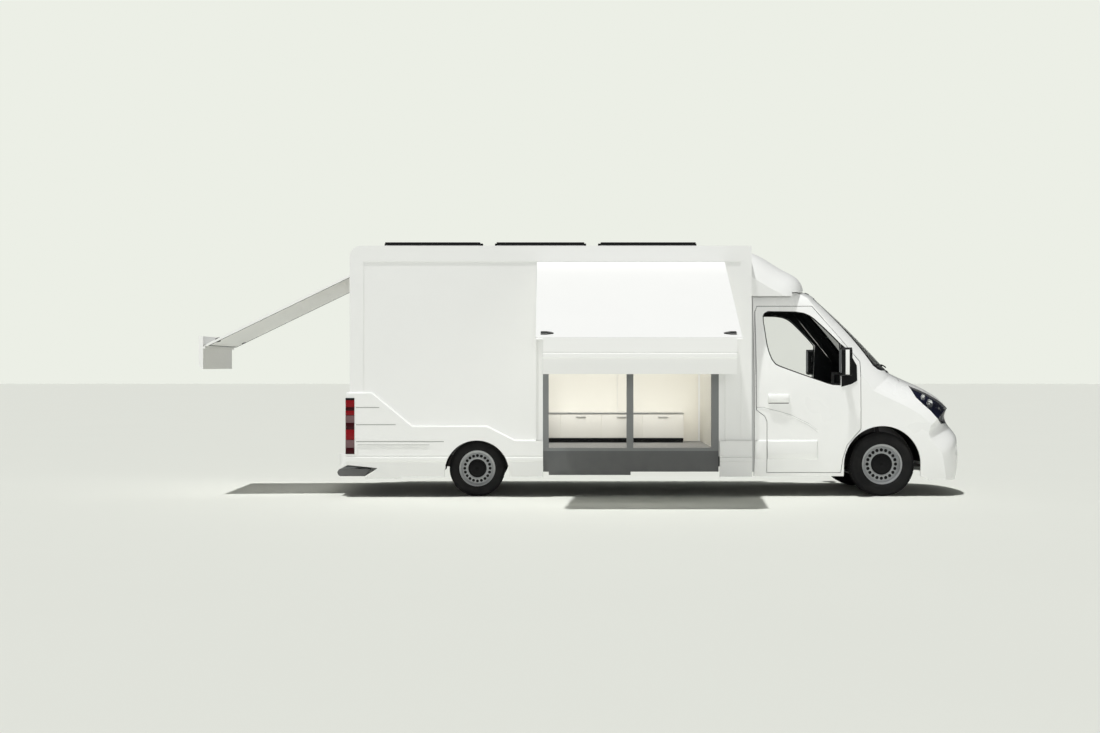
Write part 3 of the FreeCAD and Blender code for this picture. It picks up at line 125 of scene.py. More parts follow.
class Finish:
    def __init__(self, name, colour, roughness, **constants):
        self.material = bpy.data.materials.new(name)
        self.material.use_nodes = True
        self.tree = self.material.node_tree
        self.shader = self.tree.nodes["Principled BSDF"]
        self.shader.inputs["Base Color"].default_value = (*colour, 1)
        self.shader.inputs["Roughness"].default_value = roughness
        for socket, value in constants.items():
            self.shader.inputs[socket.replace("_", " ")].default_value = value
        self.place = self.node("ShaderNodeTexCoord", output="Object")
        finishes[name] = self.material

    def node(self, kind, sockets=None, output=0, **settings):
        return addNode(self.tree, kind, sockets, output, **settings)

    def axis(self, letter):
        return self.node("ShaderNodeSeparateXYZ", {"Vector": self.place}, letter)

    def mottle(self, scale, detail, place=None):
        sockets = {"Vector": place or self.place, "Scale": scale, "Detail": detail}
        return self.node("ShaderNodeTexNoise", sockets, "Fac")

    def pebble(self, scale):
        return self.node("ShaderNodeTexVoronoi", {"Vector": self.place, "Scale": scale}, "Distance")

    def tint(self, share, *shades):
        # a mix of two colours, each given as numbers or as a wire
        sockets = {0: share}
        for place, shade in zip((6, 7), shades):
            sockets[place] = shade if isinstance(shade, Wire) else (*shade, 1)
        return self.node("ShaderNodeMix", sockets, 2, data_type="RGBA")

    def bump(self, height, distance, strength):
        sockets = {"Height": height, "Distance": distance, "Strength": strength}
        return self.node("ShaderNodeBump", sockets, "Normal")

    def feed(self, **wires):
        for socket, wire in wires.items():
            self.tree.links.new(wire.socket, self.shader.inputs[socket.replace("_", " ")])


def scaled(colour, by, lift=0.0):
    return [shade * by + lift for shade in colour]


def paint(name, colour, roughness, peel, coat):
    # sprayed paint: a faint cloudiness, orange peel, and road dust that fades upwards
    made = Finish(name, colour, roughness, Coat_Weight=coat, Coat_Roughness=0.08)
    low = (1 - made.axis("Z") / 0.75).capped()
    dust = (low * made.mottle(9, 6) * 0.12).capped()
    clean = made.tint(made.mottle(1.7, 4), colour, scaled(colour, 0.975))
    made.feed(Base_Color=made.tint(dust, clean, (0.60, 0.58, 0.53)),
              Roughness=made.mottle(3, 2) * 0.05 + dust * 0.5 + (roughness - 0.025),
              Normal=made.bump(made.mottle(peel, 2), 0.00012, 0.35))


def plastic(name, colour, roughness, grain, depth=0.00025):
    # moulded plastic with a pebbled grain that catches a little dust
    made = Finish(name, colour, roughness, Specular_IOR_Level=0.18)
    pebble = made.pebble(grain)
    dust = (made.mottle(7, 5) - 0.35).capped() * 0.5
    made.feed(Base_Color=made.tint(dust, colour, scaled(colour, 1.35, 0.006)),
              Roughness=made.mottle(20, 4) * 0.14 + pebble * 0.08 + (roughness - 0.09),
              Normal=made.bump(pebble, depth, 0.5))


def metal(name, colour, roughness, stretch, depth, metallic=1.0):
    # drawn or brushed metal: the lines run where the stretch is smallest
    made = Finish(name, colour, roughness, Metallic=metallic)
    stretched = made.node("ShaderNodeMapping", {"Vector": made.place, "Scale": stretch})
    lines = made.mottle(1.0, 3, stretched)
    made.feed(Base_Color=made.tint(lines * 0.6, colour, scaled(colour, 0.82)),
              Roughness=lines * 0.16 + made.mottle(6, 4) * 0.06 + (roughness - 0.11),
              Normal=made.bump(lines, depth, 0.4))


def glass(name, colour, clear):
    # clear sheet: nearly see-through square on, bright at a grazing angle
    made = Finish(name, colour, 0.03, IOR=1.5)
    edge = made.node("ShaderNodeLayerWeight", {"Blend": 0.28}, "Fresnel")
    made.feed(Alpha=(edge * 0.62 + made.mottle(5, 4) * 0.012 + (1 - clear)).capped(),
              Roughness=made.mottle(11, 5) * 0.05 + 0.01)


def lens(name, colour, ribs):
    # pressed lamp cover with narrow optic ribs
    made = Finish(name, colour, 0.34, Specular_IOR_Level=0.2)
    rib = abs(made.axis("Z") % ribs - ribs / 2) / ribs
    made.feed(Base_Color=made.tint(rib * 1.4, colour, scaled(colour, 0.45)),
              Roughness=made.mottle(30, 3) * 0.08 + 0.28,
              Normal=made.bump(rib, 0.0009, 0.5))


def patchy(name, colour, other, patches, gloss, grain, worn=0.0, **constants):
    # one colour drifts into another in patches; gloss and grain each have a scale, a detail and two amounts
    spread, least = gloss[2:]
    made = Finish(name, colour, least + spread / 2, **constants)
    scale, detail, start, gain = patches
    patch = (made.mottle(scale, detail) - start).capped()
    made.feed(Base_Color=made.tint(patch * gain, colour, other),
              Roughness=made.mottle(*gloss[:2]) * spread + patch * worn + least,
              Normal=made.bump(made.mottle(*grain[:2]), *grain[2:]))


def laminate(name, colour, roughness):
    patchy(name, colour, scaled(colour, 0.955), (2.5, 3, 0, 1), (25, 4, 0.1, roughness - 0.05),
           (800, 3, 0.00012, 0.4))


def seatCloth():
    # plain weave from two crossing waves, with a slight heather
    made = Finish("seatCloth", (0.045, 0.047, 0.052), 0.9, Sheen_Weight=0.25)

    def wave(way, scale):
        sockets = {"Vector": made.place, "Scale": scale}
        return made.node("ShaderNodeTexWave", sockets, "Fac", bands_direction=way)

    weave = wave("Y", 170.0) * wave("DIAGONAL", 120.0)
    heather = made.mottle(260, 3) * 0.7 + weave * 0.3
    made.feed(Base_Color=made.tint(heather, (0.028, 0.029, 0.033), (0.085, 0.088, 0.095)),
              Roughness=made.mottle(50, 3) * 0.12 + 0.82,
              Normal=made.bump(weave, 0.0007, 0.7))


def boxFloor():
    # anti-slip sheet: low studs and worn, greyer patches
    made = Finish("boxFloor", (0.25, 0.25, 0.245), 0.6)
    studs = made.pebble(70) < 0.28
    made.feed(Base_Color=made.tint(made.mottle(6, 6), (0.29, 0.29, 0.285), (0.20, 0.198, 0.19)),
              Roughness=made.mottle(18, 4) * 0.2 + studs * -0.12 + 0.52,
              Normal=made.bump(studs * 0.8 + made.mottle(300, 2) * 0.2, 0.0008, 0.5))


solarLook = {"side": 0.1565, "gap": 0.0014, "bus": 0.0005, "edge": 0.795, "rim": 0.03,
             "panels": ((-0.488, 0.51), (0.675, 0.471), (1.838, 0.51))}  # middle and half length of each


def solarCells():
    # square cells in a dark frame: fine bus lines across, pale gaps between
    made = Finish("solarCells", (0.008, 0.010, 0.018), 0.12, Coat_Weight=0.4, Coat_Roughness=0.05)
    side = solarLook["side"]

    def lines(letter, pitch, half):
        return abs(made.axis(letter) % pitch - pitch / 2) > pitch / 2 - half

    edging = (abs(made.axis("Y") - middlePlane) > solarLook["edge"]).capped()
    for middle, half in solarLook["panels"]:
        away = abs(made.axis("X") - (rearAxle + middle))
        edging = (edging + (away > half - solarLook["rim"]) * (away < half + 0.04)).capped()
    gap = (lines("X", side, solarLook["gap"]) + lines("Y", side, solarLook["gap"]) + edging).capped()
    cell = made.tint(made.mottle(9, 3), (0.006, 0.008, 0.016), (0.014, 0.018, 0.034))
    wired = made.tint(lines("Y", side / 4, solarLook["bus"]), cell, (0.13, 0.135, 0.14))
    made.feed(Base_Color=made.tint(gap, wired, (0.05, 0.052, 0.055)),
              Roughness=made.mottle(8, 5) * 0.12 + 0.07)


paint("boxPaint", (0.835, 0.84, 0.82), 0.56, 650, 0.06)
paint("cabPaint", (0.905, 0.91, 0.89), 0.28, 900, 0.6)
paint("hatchPaint", (0.89, 0.893, 0.873), 0.46, 650, 0.1)
paint("trimGrey", (0.10, 0.104, 0.104), 0.45, 500, 0.1)
paint("frameGrey", (0.19, 0.198, 0.198), 0.38, 700, 0.15)
paint("blankPlate", (0.78, 0.78, 0.76), 0.35, 400, 0.2)
plastic("blackTrim", (0.006, 0.006, 0.0065), 0.5, 900)
plastic("cabLining", (0.011, 0.011, 0.012), 0.64, 1400)
plastic("tankPlastic", (0.02, 0.02, 0.021), 0.55, 500)
plastic("blackGloss", (0.006, 0.006, 0.007), 0.16, 300, 0.00004)
plastic("lampCase", (0.010, 0.012, 0.045), 0.18, 300, 0.00004)
plastic("archFelt", (0.003, 0.003, 0.003), 0.95, 300)
metal("counterSteel", (0.62, 0.63, 0.64), 0.28, (3, 900, 900), 0.00006)
metal("chrome", (0.83, 0.84, 0.86), 0.08, (40, 40, 400), 0.00001)
metal("drumIron", (0.008, 0.008, 0.008), 0.7, (60, 400, 60), 0.00008, 0.2)
metal("mirrorGlass", (0.86, 0.87, 0.88), 0.04, (4, 4, 4), 0.000002)
glass("windowGlass", (0.010, 0.013, 0.012), 0.975)
glass("lampGlass", (0.012, 0.014, 0.024), 0.74)
lens("redLens", (0.26, 0.007, 0.012), 0.009)
lens("clearLens", (0.72, 0.72, 0.70), 0.007)
lens("deepRed", (0.045, 0.003, 0.006), 0.009)
lens("smokedLens", (0.20, 0.12, 0.125), 0.007)
laminate("creamWall", (0.80, 0.775, 0.69), 0.42)
laminate("benchFront", (0.82, 0.80, 0.73), 0.38)
laminate("ceilingWhite", (0.82, 0.82, 0.80), 0.45)
laminate("paleSeal", (0.56, 0.565, 0.555), 0.6)
laminate("creaseShade", (0.42, 0.43, 0.41), 0.5)
patchy("chassisCoat", (0.022, 0.022, 0.023), (0.11, 0.095, 0.08), (5, 7, 0.42, 1.6), (16, 5, 0.22, 0.42),
       (240, 3, 0.0006, 0.4))
patchy("engineCast", (0.24, 0.24, 0.245), (0.11, 0.105, 0.10), (7, 6, 0, 1), (12, 5, 0.25, 0.45),
       (180, 5, 0.0012, 0.6), Metallic=0.75)
patchy("wheelSilver", (0.42, 0.43, 0.44), (0.26, 0.25, 0.24), (24, 6, 0.4, 0.7), (40, 4, 0.12, 0.34),
       (700, 2, 0.00012, 0.3), worn=0.25, Metallic=0.6)
patchy("tyreRubber", (0.010, 0.010, 0.0105), (0.026, 0.025, 0.023), (13, 7, 0.38, 1), (30, 4, 0.18, 0.66),
       (420, 4, 0.0003, 0.5), Specular_IOR_Level=0.2)
seatCloth()
boxFloor()
solarCells()
print("finishes:", len(finishes))

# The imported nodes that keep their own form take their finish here
nodeFinish = {
    "boxPaint": ["box_left_wall", "box_right_wall", "box_roof", "box_front_wall", "rear_frame", "side_skirts",
                 "rear_bumper", "roof_deflector"],
    "cabPaint": ["cab_shell", "front_fenders", "front_bumper", "bonnet", "door_left", "door_right"],
    "hatchPaint": ["serving_hatch", "serving_apron", "rear_hatch", "rear_apron"],
    "chassisCoat": ["chassis_frame", "front_subframe", "rear_axle", "knuckle_left", "knuckle_right"],
    "engineCast": ["engine_block"],
    "tankPlastic": ["fuel_tank"],
    "blackTrim": ["grille", "mirror_left", "mirror_right"],
    "cabLining": ["dashboard"],
    "trimGrey": ["rear_step", "serving_plinth"],
    "frameGrey": ["serving_frame", "serving_surround"],
    "boxFloor": ["box_floor"],
    "creamWall": ["interior_partition"],
    "benchFront": ["interior_bench"],
    "counterSteel": ["serving_counter"],
    "windowGlass": ["fixed_glass", "door_glass_left", "door_glass_right"],
    "lampGlass": ["headlamps"],
    "solarCells": ["solar_panels"],
    "redLens": ["tail_lamps"],
    "seatCloth": ["cab_seats"],
    "wheelSilver": [name for name in nodes if name.startswith("rim_")],
    "tyreRubber": [name for name in nodes if name.startswith("tyre_")],
}
for finishName, members in nodeFinish.items():
    for member in members:
        for materialSlot in nodes[member].material_slots:
            materialSlot.material = finishes[finishName]


def meshOf(name, gathered):
    mesh = bpy.data.meshes.new(name)
    gathered.to_mesh(mesh)
    gathered.free()
    return mesh


def applied(made):
    # the object takes the plain mesh that its modifiers give
    made.data = bpy.data.meshes.new_from_object(made.evaluated_get(bpy.context.evaluated_depsgraph_get()))
    made.modifiers.clear()
    return made


def dressed(made, finish, body, smooth=38):
    # finish, shading and body of a new piece
    made.data.materials.clear()
    made.data.materials.append(finishes[finish])
    made.data.shade_smooth()
    made.data.set_sharp_from_angle(angle=math.radians(smooth))
    if body:
        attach(made, body)
    return made


def circle(radius, around):
    # points at a number of equal angles, or at a list of angles
    angles = [2 * math.pi * step / around for step in range(around)] if isinstance(around, int) else around
    return [(radius * math.cos(angle), radius * math.sin(angle)) for angle in angles]


# Mesh tools: a Form gathers the faces of one piece
class Form:
    def __init__(self, mesh=None):
        self.mesh = bmesh.new() if mesh is None else mesh

    def joined(self, rows, looped=False, capped=False):
        # quads between equal closed rows of corners, back to the first row or with faces over the ends
        for first, second in zip(rows, rows[1:] + (rows[:1] if looped else [])):
            for place in range(len(first)):
                following = (place + 1) % len(first)
                self.mesh.faces.new((first[place], first[following], second[following], second[place]))
        if capped:
            self.mesh.faces.new(rows[0])
            self.mesh.faces.new(rows[-1])
        return self

    def closedBar(self, sections):
        # closed sections along a path, capped at both ends
        rows = [[self.mesh.verts.new(at(*point)) for point in section] for section in sections]
        return self.joined(rows, capped=True)

    def turned(self, profile, centre, around=64, side=1, closed=True):
        # a profile of (radius, across) points turned about a line along Y
        x, y, z = centre
        rows = [[self.mesh.verts.new(at(x + u, y + across * side, z + v)) for u, v in circle(radius, around)]
                for radius, across in profile]
        return self.joined(rows, looped=closed)

    def slab(self, outline, along, low, high):
        # an outline of two coordinates, drawn through from low to high along x, y or z
        order = {"x": (2, 0, 1), "y": (0, 2, 1), "z": (0, 1, 2)}[along]
        return self.closedBar([[[(u, v, level)[place] for place in order] for u, v in outline]
                               for level in (low, high)])

    def chest(self, first, last):
        # a block between two opposite corners
        (x0, y0, z0), (x1, y1, z1) = first, last
        return self.slab([(x0, y0), (x1, y0), (x1, y1), (x0, y1)], "z", z0, z1)

    def bevelled(self, width, steps=2, angle=35):
        bmesh.ops.recalc_face_normals(self.mesh, faces=self.mesh.faces)
        sharp = [edge for edge in self.mesh.edges
                 if edge.is_manifold and edge.calc_face_angle(0) > math.radians(angle)]
        bmesh.ops.bevel(self.mesh, geom=sharp, offset=width / 1000, segments=steps, affect="EDGES",
                        profile=0.5, clamp_overlap=True)
        return self

    def moved(self, matrix):
        bmesh.ops.transform(self.mesh, matrix=matrix, verts=self.mesh.verts)
        return self

    def piece(self, name, finish="blackTrim", body="body", smooth=38, slot=None):
        bmesh.ops.remove_doubles(self.mesh, verts=self.mesh.verts, dist=0.00002)
        bmesh.ops.recalc_face_normals(self.mesh, faces=self.mesh.faces)
        return dressed(added(name, meshOf(name, self.mesh)), finish, body, smooth)


def blocks(name, finish, bevel, steps, corners, slot=None):
    # several blocks in one piece, each between two opposite corners
    form = Form()
    for first, last in corners:
        form.chest(first, last)
    if bevel:
        form.bevelled(bevel, steps)
    form.piece(name, finish, slot=slot)


def merged(name, sources):
    # one mesh out of several plain ones
    gathered = bmesh.new()
    for source in sources:
        gathered.from_mesh(source.data)
        bpy.data.objects.remove(source)
    return added(name, meshOf(name, gathered))


# Repeats: a tree that sets one piece round a circle, and one that sets it along a row
def repeatTree(name, kinds):
    tree = bpy.data.node_groups.new(name, "GeometryNodeTree")
    tree.interface.new_socket("Geometry", in_out="OUTPUT", socket_type="NodeSocketGeometry")
    for label, kind in dict({"Piece": "Object", "Count": "Int", "Finish": "Material"}, **kinds).items():
        tree.interface.new_socket(label, in_out="INPUT", socket_type="NodeSocket" + kind)
    start = {socket.name: Wire(tree, socket) for socket in tree.nodes.new("NodeGroupInput").outputs}
    index = addNode(tree, "GeometryNodeInputIndex")
    placing = {}
    if "Radius" in kinds:
        angle = index * (2 * math.pi) / start["Count"] + start["Turn"]
        along, up = [start["Radius"] * angle.maths(wave, angle) for wave in ("COSINE", "SINE")]
        spot = addNode(tree, "ShaderNodeCombineXYZ", {"X": along, "Z": up})
        placing["Rotation"] = addNode(tree, "ShaderNodeCombineXYZ", {"Y": 0 - angle})
    else:
        spot = addNode(tree, "ShaderNodeVectorMath", {0: start["Step"], "Scale": index}, operation="SCALE")
    placing["Points"] = addNode(tree, "GeometryNodePoints", {"Count": start["Count"], "Position": spot})
    placing["Instance"] = addNode(tree, "GeometryNodeObjectInfo", {"Object": start["Piece"]}, "Geometry")
    copies = addNode(tree, "GeometryNodeInstanceOnPoints", placing)
    real = addNode(tree, "GeometryNodeRealizeInstances", {0: copies})
    coat = addNode(tree, "GeometryNodeSetMaterial", {"Geometry": real, "Material": start["Finish"]})
    addNode(tree, "NodeGroupOutput", {0: coat})
    return tree


ringTree = repeatTree("RingOfPieces", {"Radius": "Float", "Turn": "Float"})
rowTree = repeatTree("RowOfPieces", {"Step": "Vector"})
toOrigin = Matrix.Translation(-at(0, 0, 0))


def repeated(name, form, tree, finish, place, values):
    # the form is made about the rear axle; the result is one plain mesh about its place
    bmesh.ops.recalc_face_normals(form.mesh, faces=form.mesh.faces)
    seed = added(name + "Seed", meshOf(name + "Seed", form.moved(toOrigin).mesh))
    made = added(name, bpy.data.meshes.new(name))
    modifier = made.modifiers.new("Repeat", "NODES")
    modifier.node_group = tree
    sockets = {item.name: item.identifier for item in tree.interface.items_tree if item.in_out == "INPUT"}
    for label, value in dict(values, Piece=seed, Finish=finishes[finish]).items():
        modifier[sockets[label]] = value
    bpy.context.view_layer.update()
    applied(made)
    bpy.data.objects.remove(seed)
    made.data.transform(Matrix.Translation(at(*place)))
    return made


# Wheels: carcass with shoulders and grooves, tread blocks, pressed rim, drum, cap and bolts
wheels = {
    "front": {"x": 4332, "half": 872, "radius": 343, "width": 225, "seat": 205,
              "ring": 152, "hole": 18.3, "cap": 111},
    "rear": {"x": 0, "half": 868, "radius": 298, "width": 205, "seat": 182,
             "ring": 136, "hole": 16.3, "cap": 95},
}
treadLook = {"around": 66, "rows": (-0.36, -0.125, 0.125, 0.36), "across": 0.19, "gap": 0.16,
             "depth": 7, "skew": 5}
discLook = {"holes": 20, "steps": 16, "thick": 6, "lip": 1.22, "roll": 1.6, "proud": 66, "dish": 9}


def tyreForm(wheel):
    half, seat, radius = wheel["width"] / 2, wheel["seat"], wheel["radius"]
    tread = radius - treadLook["depth"]
    wall = [(seat + 0.5, 24), (seat + 6, 15), (seat + 16, 9), (seat + 30, 3.5), (seat + 50, 0.6),
            (seat + 58, 2.2), (seat + 64, 0.8), (radius - 58, 0.8), (radius - 50, 2.4), (radius - 40, 3),
            (radius - 26, 7), (radius - 14, 15), (tread - 1, 27), (tread, 32)]
    profile = [(reach, across - half) for reach, across in wall] + [(tread + 1.5, 0)]
    profile += [(reach, half - across) for reach, across in reversed(wall)]
    return Form().turned(profile, wheel["centre"], 96)


def treadRing(name, wheel):
    # each row is one ring of blocks, every second row half a pitch round
    long = math.pi * wheel["radius"] / treadLook["around"] * (1 - treadLook["gap"])
    wide = wheel["width"] * treadLook["across"] / 2
    rings = []
    for row, share in enumerate(treadLook["rows"]):
        middle = share * wheel["width"] * 1.02
        skew = math.copysign(treadLook["skew"], share)
        low, high = -treadLook["depth"] - 3, -0.6 - 4.5 * abs(share) ** 1.5
        block = Form().closedBar([
            [(level, middle + u * wide * grow, v * long * grow + u * skew) for u, v in square]
            for level, grow in ((low, 1), (high, 0.94))])
        values = {"Count": treadLook["around"], "Radius": wheel["radius"] / 1000,
                  "Turn": (row % 2) * math.pi / treadLook["around"]}
        rings.append(repeated(f"{name}Row{row}", block, ringTree, "tyreRubber", wheel["centre"], values))
    return rings


def discFace(share):
    return discLook["proud"] - discLook["dish"] * share ** 2


def holedDisc(form, wheel, inner, outer):
    # the pierced ring of the disc: one patch round each hole, front and back, and the hole's wall
    x, y, z = wheel["centre"]
    sweep = math.pi / discLook["holes"]
    hole, edge = [], []
    for u, v in circle(1, discLook["steps"]):
        stretch = 1 / max(abs(u), abs(v))
        hole.append((u * wheel["hole"], v * wheel["hole"] / wheel["ring"]))
        edge.append(((outer + inner) / 2 + u * stretch * (outer - inner) / 2, v * stretch * sweep))

    def grown(by):
        return [(wheel["ring"] + out * by, turn * by) for out, turn in hole]

    thick = discLook["thick"]
    rings = [(edge, 0), (grown(discLook["lip"]), 0), (grown(1), discLook["roll"]), (grown(1), thick),
             (edge, thick)]
    for sector in range(discLook["holes"]):
        rows = []
        for points, depth in rings:
            row = []
            for radius, turn in points:
                angle = 2 * sweep * sector + turn
                across = wheel["side"] * (discFace((radius - inner) / (outer - inner)) - depth)
                spot = at(x + radius * math.cos(angle), y + across, z + radius * math.sin(angle))
                row.append(form.mesh.verts.new(spot))
            rows.append(row)
        form.joined(rows)


def rimForm(wheel):
    seat, edge, thick = wheel["seat"], wheel["width"] / 2 - 11, discLook["thick"]
    inner, outer = seat * 0.52 + 16, seat - 22
    form = Form()
    holedDisc(form, wheel, inner, outer)
    # the turned parts meet the pierced ring at its own corners
    sweep = math.pi / discLook["holes"]
    angles = [sweep * (2 * sector + share) for sector in range(discLook["holes"])
              for share in (-1, -math.tan(math.pi / 8), 0, math.tan(math.pi / 8))]
    last = discFace(1)
    barrel = [(outer, last), (outer + 6, last - 3), (seat - 9, last - 2), (seat - 8, last + 6),
              (seat - 8, edge - 12), (seat - 6, edge - 6), (seat + 2, edge - 2), (seat + 9, edge - 0.3),
              (seat + 11.6, edge - 2), (seat + 11.6, edge - 6), (seat + 4, edge - 8), (seat - 1, edge - 16),
              (seat - 1, 14 - edge), (seat + 11, 4 - edge), (seat + 10, 0.5 - edge), (seat - 6, 1.5 - edge),
              (seat - 8, 12 - edge), (seat - 8, 44), (outer + 4, last - thick - 4), (outer, last - thick)]
    hub = [(inner, discFace(0)), (inner - 18, 60), (62, 40), (60, -30), (33.5, -37), (33.5, -39), (72, -39),
           (72, 46), (inner - 16, 53), (inner, discFace(0) - thick)]
    for profile in (barrel, hub):
        form.turned(profile, wheel["centre"], angles, wheel["side"], False)
    return form


def capForm(wheel):
    cap = wheel["cap"]
    profile = [(cap + 3, 60), (cap + 3, 66), (cap, 69), (cap - 4, 70), (cap - 6, 67.5), (cap - 14, 67),
               (cap - 22, 72), (cap - 34, 75.5), (24, 77), (21, 75), (0.01, 75), (0.01, 60)]
    return Form().turned(profile, wheel["centre"], side=wheel["side"])


def drumForm(wheel):
    # brake drum close behind the disc, so that the holes look onto a dark face
    reach = wheel["seat"] - 20
    profile = [(75, 44), (reach - 4, 44), (reach, 40), (reach, -10), (reach - 8, -10), (reach - 8, 36),
               (75, 36)]
    return Form().turned(profile, wheel["centre"], side=wheel["side"])


def boltRing(name, wheel):
    bolt = Form().slab(circle(10, 6), "y", wheel["side"] * 66, wheel["side"] * 76).bevelled(1.5, 1)
    values = {"Count": 5, "Radius": (wheel["cap"] - 30) / 1000, "Turn": 0.3}
    return repeated(name, bolt, ringTree, "blackTrim", wheel["centre"], values)


for end, size in wheels.items():
    for sideName, side in sides.items():
        wheel = dict(size, side=side, centre=(size["x"], side * size["half"], size["radius"]))
        spot = f"{end}_{sideName}"
        body = f"wheel_{spot}"
        carcass = tyreForm(wheel).piece(f"Carcass_{spot}", "tyreRubber", None)
        tyre = merged(f"Tyre_{spot}", [carcass] + treadRing(f"Tread_{spot}", wheel))
        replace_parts(dressed(tyre, "tyreRubber", body, 30), f"tyre_{spot}")
        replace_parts(rimForm(wheel).piece(f"Rim_{spot}", "wheelSilver", body, 30), f"rim_{spot}")
        capForm(wheel).piece(f"HubCap_{spot}", "blackTrim", body, 30)
        drumForm(wheel).piece(f"BrakeDrum_{spot}", "drumIron", body, 30)
        dressed(boltRing(f"WheelBolts_{spot}", wheel), "blackTrim", body, 30)
print("wheels: four tyres with tread, pierced rims, caps and bolts")


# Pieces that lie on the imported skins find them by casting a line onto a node
def plainCopy(nodeName):
    gathered = bmesh.new()
    gathered.from_mesh(nodes[nodeName].data)
    bmesh.ops.remove_doubles(gathered, verts=gathered.verts, dist=0.00001)
    return gathered


skins = {}
castLook = {"side": 1400, "front": 6000}  # where the lines start


def onSkin(nodeName, side, u, v):
    # place and normal where a line meets the node, from the left (1), the right (-1) or the front (0)
    if nodeName not in skins:
        copy = plainCopy(nodeName)
        skins[nodeName] = BVHTree.FromBMesh(copy)
        copy.free()
    start, way = at(castLook["front"], u, v), Vector((-1, 0, 0))
    if side:
        start, way = at(u, side * castLook["side"], v), Vector((0, -side, 0))
    place, normal, face, reach = skins[nodeName].ray_cast(start, way)
    return (place, normal) if place else None


def rounded(corners, radius, steps=5):
    # corner points of a closed outline, each turned into a small arc
    points = []
    for index, corner in enumerate(corners):
        here = Vector(corner)
        before = Vector(corners[index - 1]) - here
        after = Vector(corners[(index + 1) % len(corners)]) - here
        reach = min(radius, before.length * 0.45, after.length * 0.45)
        first, last = here + before.normalized() * reach, here + after.normalized() * reach
        for step in range(steps + 1):
            share = step / steps
            points.append(first.lerp(here, share).lerp(here.lerp(last, share), share))
    return [tuple(point) for point in points]


def spaced(points, pitch, closed):
    # more points along an outline, so that a bar on a curved skin follows it
    result = []
    for first, second in zip(points, points[1:] + (points[:1] if closed else [])):
        first, second = Vector(first), Vector(second)
        count = max(1, round((second - first).length / pitch))
        result += [tuple(first.lerp(second, step / count)) for step in range(count)]
    return result if closed else result + [tuple(points[-1])]


def shrunk(outline, by):
    middle = [sum(values) / len(outline) for values in zip(*outline)]
    result = []
    for u, v in outline:
        share = by / math.hypot(u - middle[0], v - middle[1])
        result.append((u + (middle[0] - u) * share, v + (middle[1] - v) * share))
    return result


def skinBar(nodeName, side, line, pitch, width, proud, sunk, closed=False):
    # a flat-topped moulding that follows a skin along a line
    found = [spot for spot in (onSkin(nodeName, side, u, v) for u, v in spaced(line, pitch, closed)) if spot]
    form = Form()
    rows = []
    for index, (place, normal) in enumerate(found):
        ahead = found[(index + 1) % len(found)][0] if closed or index + 1 < len(found) else place
        behind = found[index - 1][0] if closed or index > 0 else place
        half = (ahead - behind).normalized().cross(normal).normalized() * width / 2000
        out, inwards = normal * proud / 1000, normal * -sunk / 1000
        rows.append([form.mesh.verts.new(spot) for spot in (
            place - half + inwards, place - half + out * 0.6, place - half * 0.72 + out,
            place + half * 0.72 + out, place + half + out * 0.6, place + half + inwards)])
    return form.joined(rows, looped=closed, capped=not closed)


liningLook = {"proud": 1.5, "gap": 0.3}


def lining(name, nodeName, keep, body):
    # the inner faces of a shell, lifted a little off it and given a thickness
    copy = plainCopy(nodeName)
    copy.normal_update()
    bmesh.ops.delete(copy, geom=[face for face in copy.faces if not keep(face)], context="FACES")
    copy.normal_update()
    for corner in copy.verts:
        corner.co += corner.normal * liningLook["proud"] / 1000
    made = added(name, meshOf(name, copy))
    wall = made.modifiers.new("Wall", "SOLIDIFY")
    wall.thickness = (liningLook["proud"] - liningLook["gap"]) / 1000
    wall.offset = -1
    dressed(applied(made), "cabLining", body, 40)


# Cab: dark linings, window seals, mirrors, wipers, lamps and grille
def facesCabin(face):
    # true for a face that looks towards the middle of the cabin
    low, high = at(3150, -500, 900), at(3850, 500, 1700)
    place = face.calc_center_median()
    inside = Vector([min(max(spot, least), most) for spot, least, most in zip(place, low, high)])
    return face.normal.dot((inside - place).normalized()) > 0.35


def facesIn(side):
    return lambda face: face.normal.y * side < -0.5


screenOutline = [(-850, 1400), (-800, 1345), (800, 1345), (850, 1400), (672, 2095), (620, 2135), (-620, 2135),
                 (-672, 2095)]
windowOutline = [(3191, 1409), (3150, 1463), (3121, 1537), (3101, 1619), (3092, 1685), (3068, 1882),
                 (3068, 1936), (3084, 1964), (3126, 1986), (3421, 1982), (3512, 1968), (3577, 1940),
                 (3627, 1903), (3718, 1817), (3816, 1718), (3893, 1632), (3880, 1195), (3800, 1191),
                 (3750, 1204), (3561, 1270), (3455, 1306), (3241, 1385)]
swageLine = [(2990, 942), (3055, 942), (3127, 923), (3224, 899), (3360, 858), (3457, 809), (3541, 770),
             (3639, 695)]
gripLine = [(3112, 996), (3328, 996)]
mirrorOutline = [(1128, 1330), (1118, 1345), (1118, 1550), (1130, 1568), (1258, 1572), (1272, 1560),
                 (1272, 1335), (1260, 1318)]

